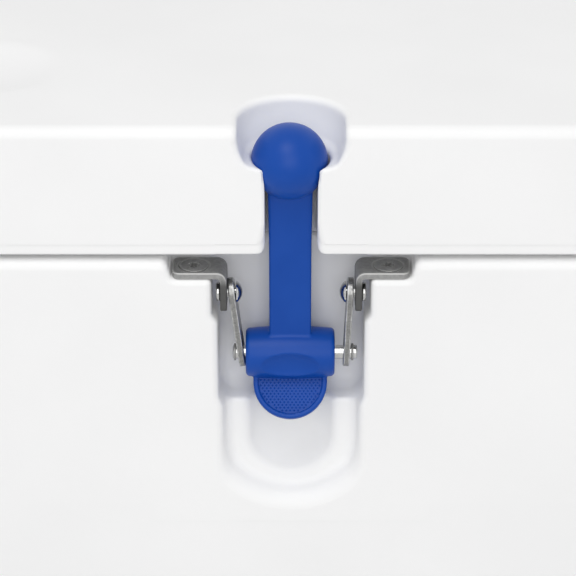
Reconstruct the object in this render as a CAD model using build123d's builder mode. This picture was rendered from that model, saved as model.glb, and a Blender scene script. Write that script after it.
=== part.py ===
from build123d import *
import os
from math import asin, cos, radians, sin, tan

# Hard cooler chest with two rubber T-latches, in millimetres.
# +X runs along the length, the front faces -Y and +Z is up.
# The origin is on the floor, under the chest's middle.

# ---- driving dimensions ----
LENGTH = 680.0
DEPTH = 410.0
CORNER_R = 45.0
FOOT_H = 8.0
BODY_TOP = 346.0
CREASE_DROP = 120.0
TAPER_DEG = 1.5
SEAL_GAP = 2.4
LID_H = 56.6
LID_STEP = 4.4
LID_INSET = 0.5
WALL = 55.0
FLOOR_Z = 62.0
SKIN = 6.0
RIM_R = 4.5
LID_EDGE_R = 5.0
LATCH_INSET = 190.0
HINGE_INSET = 140.0

# ---- named fits ----
RUN = 0.05
LOOSE = 0.3
PLUG_GAP = 3.0

FRONT = -DEPTH / 2
CREASE_Z = BODY_TOP - CREASE_DROP
LID_LOW = BODY_TOP + SEAL_GAP
LID_TOP = LID_LOW + LID_H
LATCH_X = LENGTH / 2 - LATCH_INSET
HINGE_X = LENGTH / 2 - HINGE_INSET
SIDES = {"left": -1, "right": 1}
os.makedirs("parts", exist_ok=True)


def save(piece, label):
    """Names a finished piece and writes its STEP file."""
    piece.part.label = label
    export_step(piece.part, f"parts/{label}.step")


# ---- latch layout, in a frame of its own: X from the latch's middle, Y behind the chest's front face ----
# heights are given from the chest's rim
BALL_R = 16.0
BALL_Y = 12.5
BALL_Z = BODY_TOP + 40.2
PIN_R = 3.0
PIN_Y = 12.0
PIN_Z = BODY_TOP - 50.5
PIN_SHIFT = 1.5
RIVET_Y = 9.0
RIVET_Z = BODY_TOP - 19.8
RIVET_R = 2.5
STEEL = 2.9
LINK_T = 2.7
LEG_X = 27.1
LEG_LOW_Z = BODY_TOP - 25.5
LEG_CORNER_R = 1.5
FLANGE_X = 50.0
FLANGE_Z = BODY_TOP - 7.2
BRACKET_Y0 = 1.0
BRACKET_D = 16.0
SCREW_X = 41.0
SCREW_Y = 9.0
SCREW_HEAD_R = 6.5
SCREW_R = 2.6
SCREW_L = 22.0
LINK_X = 25.0
LINK_LOW_X = 22.35
CHANNEL_D = 25.0
CHANNEL_LOW_Z = BODY_TOP - 71.5
CHANNEL_STEP_Z = BODY_TOP - 30.0
NOTCH_GAP = 0.6
SCOOP_R = 19.0
SCOOP_Z = BODY_TOP - 91.0
POCKET_R = 21.0
POCKET_Y = 10.0
POCKET_Z = LID_TOP - 4.0
STRAP_X = 9.15
SLOT_X = STRAP_X + 2.35
SLOT_DEEP = 20.0
BARREL_R = 10.3
BARREL_X = 18.8
TAB_X = 15.9
TAB_L = 28.8
TAB_T = 4.8
TAB_BACK = 3.5
TAB_LEAN = radians(36)
TAB_PLANE = Plane(
    origin=(0, PIN_Y, PIN_Z), x_dir=(1, 0, 0), z_dir=(0, -cos(TAB_LEAN), sin(TAB_LEAN)),
).offset(-TAB_BACK)

# ---- the latch's space in the chest and in the lid, as cutting tools ----
with BuildPart() as channel_tool:
    for low, high, width in (
        (CHANNEL_STEP_Z, BODY_TOP + 10, 67.2), (CHANNEL_LOW_Z, CHANNEL_STEP_Z, 62.4),
    ):
        with BuildSketch(Plane.XY.offset(low)):
            with Locations((0, CHANNEL_D / 2 - 15)):
                RectangleRounded(width, CHANNEL_D + 30, 5)
        extrude(amount=high - low)

with BuildPart() as notch_tool:
    with BuildSketch(Plane.XZ.offset(30)):
        with BuildLine():
            Polyline(
                (-FLANGE_X - NOTCH_GAP, FLANGE_Z - STEEL), (FLANGE_X + NOTCH_GAP, FLANGE_Z - STEEL),
                (FLANGE_X + 4.6, BODY_TOP + 10), (-FLANGE_X - 4.6, BODY_TOP + 10), close=True,
            )
        make_face()
    extrude(amount=-50)
    fillet(notch_tool.edges().group_by(Axis.Y)[-1].filter_by(Axis.X, reverse=True), radius=3)

with BuildPart() as apron_tool:
    for y, half, arc_drop, low_drop in ((-6, 31.0, 100.7, 118.7), (10, 27.8, 98.8, 114.8)):
        arc_z = BODY_TOP - arc_drop
        apron_top = CHANNEL_LOW_Z + 15.5
        with BuildSketch(Plane.XZ.offset(-y)):
            with BuildLine():
                Polyline((-half, arc_z), (-half, apron_top), (half, apron_top), (half, arc_z))
                ThreePointArc((half, arc_z), (0, BODY_TOP - low_drop), (-half, arc_z))
            make_face()
    loft(ruled=True)

with BuildPart() as scoop_tool:
    with BuildSketch(Plane.XY.offset(SCOOP_Z)):
        with Locations((0, 1)):
            Circle(SCOOP_R)
    extrude(amount=30)
    with Locations((0, 1, SCOOP_Z)):
        Sphere(SCOOP_R)

with BuildPart() as pocket_tool:
    with BuildSketch(Plane.XY.offset(POCKET_Z)):
        with Locations((0, POCKET_Y)):
            Circle(POCKET_R)
        with Locations((0, POCKET_Y - 15)):
            Rectangle(2 * POCKET_R, 30)
    extrude(amount=20)
    with Locations((0, POCKET_Y, POCKET_Z)):
        Sphere(POCKET_R)
    with Locations(Location((0, POCKET_Y - 15, POCKET_Z), (90, 0, 0))):
        Cylinder(POCKET_R, 30)
    with Locations((0, BALL_Y, BALL_Z)):
        Sphere(BALL_R + LOOSE)
    with BuildSketch(Plane.XY.offset(LID_LOW - 10)):
        with Locations((0, SLOT_DEEP / 2 - 15)):
            Rectangle(2 * SLOT_X, SLOT_DEEP + 30)
    extrude(amount=BALL_Z - LID_LOW + 10)

# ---- rear hinge layout ----
HINGE_Y = DEPTH / 2
HINGE_Z = BODY_TOP + 1.5
KNUCKLE_R = 10.5
RELIEF_R = KNUCKLE_R + 1.1
ROD_R = 4.0
LID_KNUCKLE = 69.0
BODY_KNUCKLE = 35.0
KNUCKLE_SPAN = 140.0
CAP_T = 3.0
HINGE_SPACE = KNUCKLE_SPAN + 2 * (CAP_T + 6)

# ---- drain, handle and foot layout ----
DRAIN_Z = FLOOR_Z + 12
DRAIN_FLAT_X = LENGTH / 2 - 8
DRAIN_TUBE_R = 12.0
HANDLE_Y = 75.0
HANDLE_Z = BODY_TOP - 46
HANDLE_X = LENGTH / 2 + 14
PLATE_T = 4.0
PLATE_Y = 38.0
PLATE_H = 50.0
PLATE_UP = 2.0
EAR_R = 11.0
EAR_T = 14.0
PLATE_SCREW_Y = 13.0
PLATE_SCREW_Z = (HANDLE_Z + PLATE_UP - 15, HANDLE_Z + PLATE_UP + 15)
PLATE_SCREW_R = 2.5
BAIL_R = 5.0
BAIL_Y = HANDLE_Y + 17
BAIL_END_Y = HANDLE_Y - 11
BAIL_DROP = 88.0
GRIP_R = 12.5
GRIP_L = 116.0
FOOT_X = LENGTH / 2 - 62
FOOT_Y = DEPTH / 2 - 70
FOOT_R = 28.0
FOOT_IN = 4.0
FOOT_SCREW_R = 2.2
CAVITY = (LENGTH - 2 * WALL, DEPTH - 2 * WALL)
FOOT_PLACES = [(x, y) for x in (-FOOT_X, FOOT_X) for y in (-FOOT_Y, FOOT_Y)]
taper_in = (CREASE_Z - FOOT_H) * tan(radians(TAPER_DEG))

# ---- foam core of the chest: one block in each wall and one in the floor ----
FOAM_IN = 12.0
FOAM_TOP = BODY_TOP - 8
foam_t = WALL - FOAM_IN - SKIN
wall_h = FOAM_TOP - FLOOR_Z - SKIN / 2
wall_z = (FOAM_TOP + FLOOR_Z + SKIN / 2) / 2
end_x = LENGTH / 2 - FOAM_IN - foam_t / 2
long_y = DEPTH / 2 - FOAM_IN - foam_t / 2
with BuildPart() as body_foam:
    with BuildSketch(Plane.XY.offset(FOOT_H + SKIN)):
        RectangleRounded(LENGTH - 2 * FOAM_IN - 8, DEPTH - 2 * FOAM_IN - 8, CORNER_R - 16)
    extrude(amount=FLOOR_Z - FOOT_H - 2 * SKIN)
    for y in (-long_y, long_y):
        with Locations((0, y, wall_z)):
            Box(LENGTH - 2 * CORNER_R, foam_t, wall_h)
    for x in (-end_x, end_x):
        with Locations((x, 0, wall_z)):
            Box(foam_t, 2 * (CAVITY[1] / 2 - CORNER_R), wall_h)
    for x in (-LATCH_X, LATCH_X):
        with Locations((x, FRONT + 15, BODY_TOP - 61)):
            Box(2 * FLANGE_X + 24, 32, 140, mode=Mode.SUBTRACT)
    for x in (-HINGE_X, HINGE_X):
        with Locations((x, HINGE_Y - 10, HINGE_Z - 17.5)):
            Box(HINGE_SPACE + 12, 24, 50, mode=Mode.SUBTRACT)
    for x in (-LENGTH / 2, LENGTH / 2):
        for y in (-HANDLE_Y, HANDLE_Y):
            with Locations((x, y, HANDLE_Z + PLATE_UP)):
                Box(60, PLATE_Y + 8, PLATE_H + 10, mode=Mode.SUBTRACT)
    for x, y in FOOT_PLACES:
        with Locations((x, y, 18)):
            Cylinder(10, 24, mode=Mode.SUBTRACT)
    with Locations((LENGTH / 2 - 30, 0, DRAIN_Z)):
        Box(80, 80, 76, mode=Mode.SUBTRACT)
save(body_foam, "body_foam")

# ---- chest: one double-walled moulding ----
with BuildPart() as body_shell:
    with BuildSketch(Plane.XY.offset(FOOT_H)):
        RectangleRounded(LENGTH - 2 * taper_in, DEPTH - 2 * taper_in, CORNER_R - taper_in)
    with BuildSketch(Plane.XY.offset(CREASE_Z)):
        RectangleRounded(LENGTH, DEPTH, CORNER_R)
    loft(ruled=True)
    with BuildSketch(Plane.XY.offset(CREASE_Z)):
        RectangleRounded(LENGTH, DEPTH, CORNER_R)
    extrude(amount=BODY_TOP - CREASE_Z)
    fillet(body_shell.edges().group_by(Axis.Z)[0], radius=8)
    fillet(body_shell.edges().group_by(Axis.Z)[-1], radius=RIM_R)
    for x in (-LATCH_X, LATCH_X):
        for tool in (channel_tool, notch_tool, apron_tool, scoop_tool):
            add(tool.part.moved(Location((x, FRONT, 0))), mode=Mode.SUBTRACT)
    face_edges = [
        e for e in body_shell.edges().filter_by_position(Axis.Y, FRONT - 0.01, FRONT + 0.01)
        if CREASE_Z < e.center().Z and e.bounding_box().size.X < 70 and abs(e.center().X) < 230
    ]
    fillet(face_edges, radius=2.6)
    with BuildSketch(Plane.XY.offset(FLOOR_Z)):
        RectangleRounded(CAVITY[0], CAVITY[1], CORNER_R - 5)
    extrude(amount=BODY_TOP, mode=Mode.SUBTRACT)
    fillet(body_shell.edges().filter_by_position(Axis.Z, FLOOR_Z - 0.01, FLOOR_Z + 0.01), radius=12)
    with Locations((CAVITY[0] / 2 - 20, 0, FLOOR_Z + 5)):
        Box(40, 46, 24, mode=Mode.SUBTRACT)
    for x in (-HINGE_X, HINGE_X):
        with Locations(Location((x, HINGE_Y, HINGE_Z), (0, 90, 0))):
            Cylinder(RELIEF_R, LID_KNUCKLE + 1, mode=Mode.SUBTRACT)
        for side in (-1, 1):
            middle = x + side * (KNUCKLE_SPAN - BODY_KNUCKLE) / 2
            with BuildSketch(Plane.YZ.offset(middle - BODY_KNUCKLE / 2)):
                with BuildLine():
                    Polyline(
                        (HINGE_Y - 8, HINGE_Z), (HINGE_Y - 8, HINGE_Z - 25.5), (HINGE_Y, HINGE_Z - 25.5),
                        (HINGE_Y + KNUCKLE_R, HINGE_Z), close=True,
                    )
                make_face()
                with Locations((HINGE_Y, HINGE_Z)):
                    Circle(KNUCKLE_R)
            extrude(amount=BODY_KNUCKLE)
            with Locations(Location((x + side * (KNUCKLE_SPAN / 2 + 4), HINGE_Y, HINGE_Z), (0, 90, 0))):
                Cylinder(RELIEF_R, 8, mode=Mode.SUBTRACT)
        with Locations(Location((x, HINGE_Y, HINGE_Z), (0, 90, 0))):
            Cylinder(ROD_R, HINGE_SPACE, mode=Mode.SUBTRACT)
    for end in (-1, 1):
        for y in (-HANDLE_Y, HANDLE_Y):
            for z in PLATE_SCREW_Z:
                for dy in (-PLATE_SCREW_Y, PLATE_SCREW_Y):
                    with Locations(Location((end * (LENGTH / 2 - 9), y + dy, z), (0, 90, 0))):
                        Cylinder(PLATE_SCREW_R, 18, mode=Mode.SUBTRACT)
    for x, y in FOOT_PLACES:
        with Locations((x, y, FOOT_H + FOOT_IN / 2)):
            Cylinder(FOOT_R + LOOSE, FOOT_IN, mode=Mode.SUBTRACT)
        with Locations((x, y, 18)):
            Cylinder(FOOT_SCREW_R, 14, mode=Mode.SUBTRACT)
    for x in (-LATCH_X - SCREW_X, -LATCH_X + SCREW_X, LATCH_X - SCREW_X, LATCH_X + SCREW_X):
        with Locations((x, FRONT + SCREW_Y, FLANGE_Z - STEEL - 11)):
            Cylinder(SCREW_R, 22, mode=Mode.SUBTRACT)
    with Locations(Location((DRAIN_FLAT_X + 10, 0, DRAIN_Z), (0, 90, 0))):
        Cylinder(32, 20, mode=Mode.SUBTRACT)
    with Locations(Location((LENGTH / 2 - 40, 0, DRAIN_Z), (0, 90, 0))):
        Cylinder(DRAIN_TUBE_R, 100, mode=Mode.SUBTRACT)
    add(body_foam.part, mode=Mode.SUBTRACT)

# the moulding is kept as its tray and its four walls, which meet face to face
TRAY_TOP = 110.0
WALL_Y = CAVITY[1] / 2 - (CORNER_R - 5)
WALL_BOXES = {
    "body_floor": ((-400, -300, 0), (400, 300, TRAY_TOP)),
    "body_front": ((-400, -300, TRAY_TOP), (400, -WALL_Y, 400)),
    "body_back": ((-400, WALL_Y, TRAY_TOP), (400, 300, 400)),
    "body_left": ((-400, -WALL_Y, TRAY_TOP), (0, WALL_Y, 400)),
    "body_right": ((0, -WALL_Y, TRAY_TOP), (400, WALL_Y, 400)),
}
for name, (low, high) in WALL_BOXES.items():
    with BuildPart() as wall_part:
        add(body_shell.part)
        with Locations([tuple((low[i] + high[i]) / 2 for i in range(3))]):
            Box(high[0] - low[0], high[1] - low[1], high[2] - low[2], mode=Mode.INTERSECT)
    save(wall_part, name)

# ---- lid foam: a slab over the plug, kept off the latch pockets and the hinge ----
PLUG = (CAVITY[0] - 2 * PLUG_GAP, CAVITY[1] - 2 * PLUG_GAP)
with BuildPart() as lid_foam:
    with BuildSketch(Plane.XY.offset(LID_LOW + 8)):
        RectangleRounded(LENGTH - 16, DEPTH - 16, CORNER_R - 8)
    extrude(amount=LID_TOP - 10 - LID_LOW - 8)
    with BuildSketch(Plane.XY.offset(LID_LOW - 10)):
        RectangleRounded(PLUG[0] - 2 * SKIN, PLUG[1] - 2 * SKIN, CORNER_R - 14)
    extrude(amount=20)
    for x in (-LATCH_X, LATCH_X):
        with Locations((x, FRONT + 10, (LID_LOW + LID_TOP) / 2)):
            Box(2 * POCKET_R + 24, 62, LID_H + 20, mode=Mode.SUBTRACT)
    for x in (-HINGE_X, HINGE_X):
        with Locations((x, HINGE_Y - 8, HINGE_Z + 7.5)):
            Box(HINGE_SPACE + 14, 30, 26, mode=Mode.SUBTRACT)
save(lid_foam, "lid_foam")

# ---- lid moulding ----
GROOVE_OUT = 32.0
GROOVE_IN = 42.0
GROOVE_H = 3.0
DISH_R = 32.5
DISH_DEEP = 4.0
dish_ball = (DISH_R ** 2 + DISH_DEEP ** 2) / (2 * DISH_DEEP)
with BuildPart() as lid_skirt:
    with BuildSketch(Plane.XY.offset(LID_LOW)):
        RectangleRounded(LENGTH - 2 * LID_INSET, DEPTH - 2 * LID_INSET, CORNER_R - LID_INSET)
    extrude(amount=LID_STEP)
    fillet(lid_skirt.edges().group_by(Axis.Z)[0], radius=1.5)
    for x in (-LATCH_X, LATCH_X):
        with Locations((x, FRONT + SLOT_DEEP / 2 - 5, LID_LOW)):
            Box(2 * SLOT_X, SLOT_DEEP + 10, 2 * LID_STEP, mode=Mode.SUBTRACT)

with BuildPart() as lid_shell:
    with BuildSketch(Plane.XY.offset(LID_LOW + LID_STEP)):
        RectangleRounded(LENGTH, DEPTH, CORNER_R)
    extrude(amount=LID_H - LID_STEP)
    fillet(lid_shell.edges().group_by(Axis.Z)[-1], radius=LID_EDGE_R)
    for x in (-LATCH_X, LATCH_X):
        add(pocket_tool.part.moved(Location((x, FRONT, 0))), mode=Mode.SUBTRACT)
    add(lid_skirt.part)
    for x in (-FOOT_X, FOOT_X):
        for y in (-FOOT_Y, FOOT_Y):
            with Locations((x, y, LID_TOP - DISH_DEEP + dish_ball)):
                Sphere(dish_ball, mode=Mode.SUBTRACT)
    with BuildSketch(Plane.XY.offset(LID_LOW)):
        RectangleRounded(LENGTH - 2 * GROOVE_OUT, DEPTH - 2 * GROOVE_OUT, CORNER_R - GROOVE_OUT / 2)
        RectangleRounded(
            LENGTH - 2 * GROOVE_IN, DEPTH - 2 * GROOVE_IN, CORNER_R - GROOVE_IN / 2, mode=Mode.SUBTRACT
        )
    extrude(amount=GROOVE_H, mode=Mode.SUBTRACT)
    with BuildSketch(Plane.XY.offset(LID_LOW - 18)):
        RectangleRounded(PLUG[0], PLUG[1], CORNER_R - 8)
    extrude(amount=18)
    fillet(lid_shell.edges().filter_by_position(Axis.Z, LID_LOW - 18.01, LID_LOW - 17.99), radius=4)
    for x in (-HINGE_X, HINGE_X):
        with Locations(Location((x, HINGE_Y, HINGE_Z), (0, 90, 0))):
            Cylinder(RELIEF_R, HINGE_SPACE, mode=Mode.SUBTRACT)
        with BuildSketch(Plane.YZ.offset(x - LID_KNUCKLE / 2)):
            with BuildLine():
                Polyline(
                    (HINGE_Y - 13, HINGE_Z + 3), (HINGE_Y, HINGE_Z), (HINGE_Y + KNUCKLE_R, HINGE_Z),
                    (HINGE_Y, HINGE_Z + 25), (HINGE_Y - 13, HINGE_Z + 25), close=True,
                )
            make_face()
            with Locations((HINGE_Y, HINGE_Z)):
                Circle(KNUCKLE_R)
        extrude(amount=LID_KNUCKLE)
        with Locations(Location((x, HINGE_Y, HINGE_Z), (0, 90, 0))):
            Cylinder(ROD_R + RUN, HINGE_SPACE, mode=Mode.SUBTRACT)
    add(lid_foam.part, mode=Mode.SUBTRACT)
save(lid_shell, "lid_shell")

# ---- lid gasket: a soft ring that closes the gap to the chest's rim ----
with BuildPart() as lid_gasket:
    with BuildSketch(Plane.XY.offset(BODY_TOP)):
        RectangleRounded(LENGTH - 2 * GROOVE_OUT, DEPTH - 2 * GROOVE_OUT, CORNER_R - GROOVE_OUT / 2)
        RectangleRounded(
            LENGTH - 2 * GROOVE_IN, DEPTH - 2 * GROOVE_IN, CORNER_R - GROOVE_IN / 2, mode=Mode.SUBTRACT
        )
    extrude(amount=SEAL_GAP + GROOVE_H)
save(lid_gasket, "lid_gasket")

# ---- hinge rods and their end caps ----
for side, sign in SIDES.items():
    with BuildPart() as hinge_rod:
        with Locations(Location((sign * HINGE_X, HINGE_Y, HINGE_Z), (0, 90, 0))):
            Cylinder(ROD_R, KNUCKLE_SPAN + 8)
        chamfer(hinge_rod.edges(), length=0.6)
    save(hinge_rod, f"hinge_rod_{side}")
    with BuildPart() as hinge_caps:
        for end in (-1, 1):
            middle = sign * HINGE_X + end * (KNUCKLE_SPAN + CAP_T) / 2
            with Locations(Location((middle, HINGE_Y, HINGE_Z), (0, 90, 0))):
                Cylinder(7.5, CAP_T)
                Cylinder(ROD_R, CAP_T, mode=Mode.SUBTRACT)
    save(hinge_caps, f"hinge_caps_{side}")

# ---- latches ----
with BuildPart() as tab:
    with BuildSketch(TAB_PLANE):
        with Locations((0, -TAB_L / 2)):
            Rectangle(2 * TAB_X, TAB_L)
        fillet(vertices().group_by(Axis.Y)[0], radius=TAB_X - 0.3)
    extrude(amount=TAB_T / 2, both=True)
    fillet(tab.edges().filter_by(GeomType.CIRCLE), radius=1.2)

for side, sign in SIDES.items():
    place = Location((sign * LATCH_X, FRONT, 0))
    for half, way in (("outer", sign), ("inner", -sign)):
        # an L-shaped bracket: a flange screwed to the notch floor and a leg that carries the link
        with BuildPart() as bracket:
            with BuildSketch(Plane.XZ.offset(-BRACKET_Y0)):
                with BuildLine():
                    FilletPolyline(
                        (way * (LEG_X + STEEL / 2), LEG_LOW_Z),
                        (way * (LEG_X + STEEL / 2), FLANGE_Z - STEEL / 2),
                        (way * FLANGE_X, FLANGE_Z - STEEL / 2), radius=2.8,
                    )
                trace(line_width=STEEL)
            extrude(amount=-BRACKET_D)
            fillet(bracket.edges().filter_by(Axis.X).group_by(Axis.Z)[0], radius=LEG_CORNER_R)
            fillet(bracket.edges().filter_by(Axis.Z).group_by(Axis.X)[-1 if way > 0 else 0], radius=3)
            with Locations((way * SCREW_X, SCREW_Y, FLANGE_Z - STEEL / 2)):
                Cone(SCREW_R + 0.4, SCREW_HEAD_R, STEEL, mode=Mode.SUBTRACT)
            with Locations(Location((way * LEG_X, RIVET_Y, RIVET_Z), (0, 90, 0))):
                Cylinder(RIVET_R + RUN, 20, mode=Mode.SUBTRACT)
        bracket.part.label = f"latch_bracket_{side}_{half}"
        export_step(bracket.part.moved(place), f"parts/{bracket.part.label}.step")

        # a flat link that leans inwards from the rivet down to the pin, which sits to one side
        low_x = way * LINK_LOW_X + PIN_SHIFT * (1.0 if way > 0 else 0.65)
        lean = asin((LINK_X - way * low_x) / (RIVET_Z - PIN_Z))
        tilted = Plane(
            origin=(way * LINK_X, RIVET_Y, RIVET_Z), x_dir=(0, 1, 0),
            z_dir=(cos(lean), 0, -way * sin(lean)),
        )
        drop = -(RIVET_Z - PIN_Z) / cos(lean)
        with BuildPart() as link:
            with BuildSketch(tilted):
                Circle(6)
                with Locations((PIN_Y - RIVET_Y, drop)):
                    Circle(7.5)
                make_hull()
            extrude(amount=LINK_T / 2, both=True)
            with Locations(Location((way * LINK_X, RIVET_Y, RIVET_Z), (0, 90, 0))):
                Cylinder(RIVET_R, 20, mode=Mode.SUBTRACT)
            with Locations(Location((low_x, PIN_Y, PIN_Z), (0, 90, 0))):
                Cylinder(PIN_R + RUN, 20, mode=Mode.SUBTRACT)
        link.part.label = f"latch_link_{side}_{half}"
        export_step(link.part.moved(place), f"parts/{link.part.label}.step")

    # two countersunk screws with cross recesses
    with BuildPart() as bracket_screws:
        for way in (-1, 1):
            with Locations((way * SCREW_X, SCREW_Y, FLANGE_Z - STEEL / 2)):
                Cone(SCREW_R + 0.4, SCREW_HEAD_R, STEEL)
            with Locations((way * SCREW_X, SCREW_Y, FLANGE_Z - STEEL - SCREW_L / 2)):
                Cylinder(SCREW_R, SCREW_L)
            with Locations((way * SCREW_X, SCREW_Y, FLANGE_Z - 0.9)):
                Box(7.4, 1.7, 1.8, rotation=(0, 0, 45), mode=Mode.SUBTRACT)
                Box(7.4, 1.7, 1.8, rotation=(0, 0, -45), mode=Mode.SUBTRACT)
    bracket_screws.part.label = f"bracket_screws_{side}"
    export_step(bracket_screws.part.moved(place), f"parts/{bracket_screws.part.label}.step")

    # two rivets: a domed head inside each link, and a flat tail behind the bracket's leg
    with BuildPart() as rivets:
        for way in (-1, 1):
            face = LINK_X - LINK_T / 2 - 0.45
            for x0, x1, r in ((face - 2.6, face, 4.85), (face, 31.8, RIVET_R), (30.1, 31.8, 4)):
                with Locations(Location((way * (x0 + x1) / 2, RIVET_Y, RIVET_Z), (0, 90, 0))):
                    Cylinder(r, x1 - x0)
            dome = [e for e in rivets.edges() if abs(e.center().X - way * (face - 2.6)) < 0.01]
            fillet(dome, radius=2.4)
    rivets.part.label = f"latch_rivets_{side}"
    export_step(rivets.part.moved(place), f"parts/{rivets.part.label}.step")

    # the pin that carries the rubber barrel, grooved for two retaining rings
    with BuildPart() as latch_pin:
        with Locations(Location((PIN_SHIFT, PIN_Y, PIN_Z), (0, 90, 0))):
            Cylinder(PIN_R, 53)
        chamfer(latch_pin.edges(), length=0.5)
    latch_pin.part.label = f"latch_pin_{side}"
    export_step(latch_pin.part.moved(place), f"parts/{latch_pin.part.label}.step")
    with BuildPart() as pin_rings:
        for way in (-1, 1):
            ring_x = PIN_SHIFT + (24.9 if way > 0 else -25.65)
            with Locations(Location((ring_x, PIN_Y, PIN_Z), (0, 90, 0))):
                Cylinder(4.8, 1.2)
                Cylinder(PIN_R, 1.2, mode=Mode.SUBTRACT)
    pin_rings.part.label = f"pin_rings_{side}"
    export_step(pin_rings.part.moved(place), f"parts/{pin_rings.part.label}.step")

    # one rubber moulding: ball, strap, barrel and pull tab
    with BuildPart() as strap:
        with BuildSketch(Plane.YZ):
            with BuildLine():
                Polyline(
                    (BALL_Y - 4.4, BALL_Z), (BALL_Y + 3.2, BALL_Z), (PIN_Y + 3.6, PIN_Z),
                    (PIN_Y - 4.8, PIN_Z), close=True,
                )
            make_face()
        extrude(amount=STRAP_X, both=True)
        fillet(strap.edges().filter_by(Axis.X, reverse=True).filter_by(
            lambda e: e.bounding_box().size.Z > 50), radius=2)
        add(tab.part)
        with Locations(Location((0, PIN_Y, PIN_Z), (0, 90, 0))):
            Cylinder(BARREL_R, 2 * BARREL_X)
        fillet(strap.edges().filter_by(GeomType.CIRCLE).filter_by(
            lambda e: abs(abs(e.center().X) - BARREL_X) < 0.01), radius=3)
        with Locations((0, BALL_Y, BALL_Z)):
            Sphere(BALL_R)
        with Locations(Location((0, PIN_Y, PIN_Z), (0, 90, 0))):
            Cylinder(PIN_R + RUN, 60, mode=Mode.SUBTRACT)
    strap.part.label = f"latch_strap_{side}"
    export_step(strap.part.moved(place), f"parts/{strap.part.label}.step")

# ---- swing handles ----
for side, sign in SIDES.items():
    wall = sign * LENGTH / 2
    with BuildPart() as handle_brackets:
        for y in (-HANDLE_Y, HANDLE_Y):
            with Locations((wall + sign * PLATE_T / 2, y, HANDLE_Z + PLATE_UP)):
                Box(PLATE_T, PLATE_Y, PLATE_H)
            with BuildSketch(Plane.XZ.offset(-(y - EAR_T / 2))):
                with BuildLine():
                    Polyline(
                        (wall + sign * PLATE_T, HANDLE_Z - EAR_R - 2), (HANDLE_X * sign, HANDLE_Z - EAR_R),
                        (HANDLE_X * sign, HANDLE_Z + EAR_R), (wall + sign * PLATE_T, HANDLE_Z + EAR_R + 2),
                        close=True,
                    )
                make_face()
                with Locations((sign * HANDLE_X, HANDLE_Z)):
                    Circle(EAR_R)
            extrude(amount=-EAR_T)
            with Locations(Location((sign * HANDLE_X, y, HANDLE_Z), (90, 0, 0))):
                Cylinder(BAIL_R + RUN, 40, mode=Mode.SUBTRACT)
            for z in PLATE_SCREW_Z:
                for dy in (-PLATE_SCREW_Y, PLATE_SCREW_Y):
                    with Locations(Location((wall + sign * PLATE_T / 2, y + dy, z), (0, 90, 0))):
                        Cylinder(PLATE_SCREW_R, 2 * PLATE_T, mode=Mode.SUBTRACT)
    save(handle_brackets, f"handle_brackets_{side}")
    with BuildPart() as handle_screws:
        for y in (-HANDLE_Y, HANDLE_Y):
            for z in PLATE_SCREW_Z:
                for dy in (-PLATE_SCREW_Y, PLATE_SCREW_Y):
                    with Locations(Location((wall + sign * (PLATE_T - 11), y + dy, z), (0, 90, 0))):
                        Cylinder(PLATE_SCREW_R, 22)
                    with Locations(Location((wall + sign * (PLATE_T + 1.2), y + dy, z), (0, 90, 0))):
                        Cylinder(4.6, 2.4)
    save(handle_screws, f"handle_screws_{side}")
    with BuildPart() as handle_bail:
        with BuildLine():
            FilletPolyline(
                (sign * HANDLE_X, -BAIL_END_Y, HANDLE_Z), (sign * HANDLE_X, -BAIL_Y, HANDLE_Z),
                (sign * HANDLE_X, -BAIL_Y, HANDLE_Z - BAIL_DROP),
                (sign * HANDLE_X, BAIL_Y, HANDLE_Z - BAIL_DROP),
                (sign * HANDLE_X, BAIL_Y, HANDLE_Z), (sign * HANDLE_X, BAIL_END_Y, HANDLE_Z), radius=8.5,
            )
        with BuildSketch(Plane(origin=(sign * HANDLE_X, -BAIL_END_Y, HANDLE_Z), z_dir=(0, -1, 0))):
            Circle(BAIL_R)
        sweep()
    save(handle_bail, f"handle_bail_{side}")
    with BuildPart() as handle_grip:
        with Locations(Location((sign * HANDLE_X, 0, HANDLE_Z - BAIL_DROP), (90, 0, 0))):
            Cylinder(GRIP_R, GRIP_L)
        fillet(handle_grip.edges(), radius=3)
        with Locations(Location((sign * HANDLE_X, 0, HANDLE_Z - BAIL_DROP), (90, 0, 0))):
            Cylinder(BAIL_R, GRIP_L, mode=Mode.SUBTRACT)
    save(handle_grip, f"handle_grip_{side}")

# ---- feet ----
for (x, y), name in zip(FOOT_PLACES, ("front_left", "rear_left", "front_right", "rear_right")):
    with BuildPart() as foot:
        with Locations((x, y, (FOOT_H + FOOT_IN) / 2)):
            Cylinder(FOOT_R, FOOT_H + FOOT_IN)
        fillet(foot.edges().group_by(Axis.Z)[0], radius=3)
        with Locations((x, y, 3)):
            Cylinder(6, 6, mode=Mode.SUBTRACT)
        with Locations((x, y, 8)):
            Cylinder(FOOT_SCREW_R, 20, mode=Mode.SUBTRACT)
    save(foot, f"foot_{name}")
with BuildPart() as foot_screws:
    for x, y in FOOT_PLACES:
        with Locations((x, y, 5)):
            Cylinder(4.2, 2)
        with Locations((x, y, 14.5)):
            Cylinder(FOOT_SCREW_R, 17)
save(foot_screws, "foot_screws")

# ---- drain ----
def drain_ring(x0, x1, outer, inner):
    """Adds a ring about the drain's axis from x0 to x1 to the open part."""
    with Locations(Location(((x0 + x1) / 2, 0, DRAIN_Z), (0, 90, 0))):
        Cylinder(outer, x1 - x0)
        if inner:
            Cylinder(inner, x1 - x0, mode=Mode.SUBTRACT)


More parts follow.
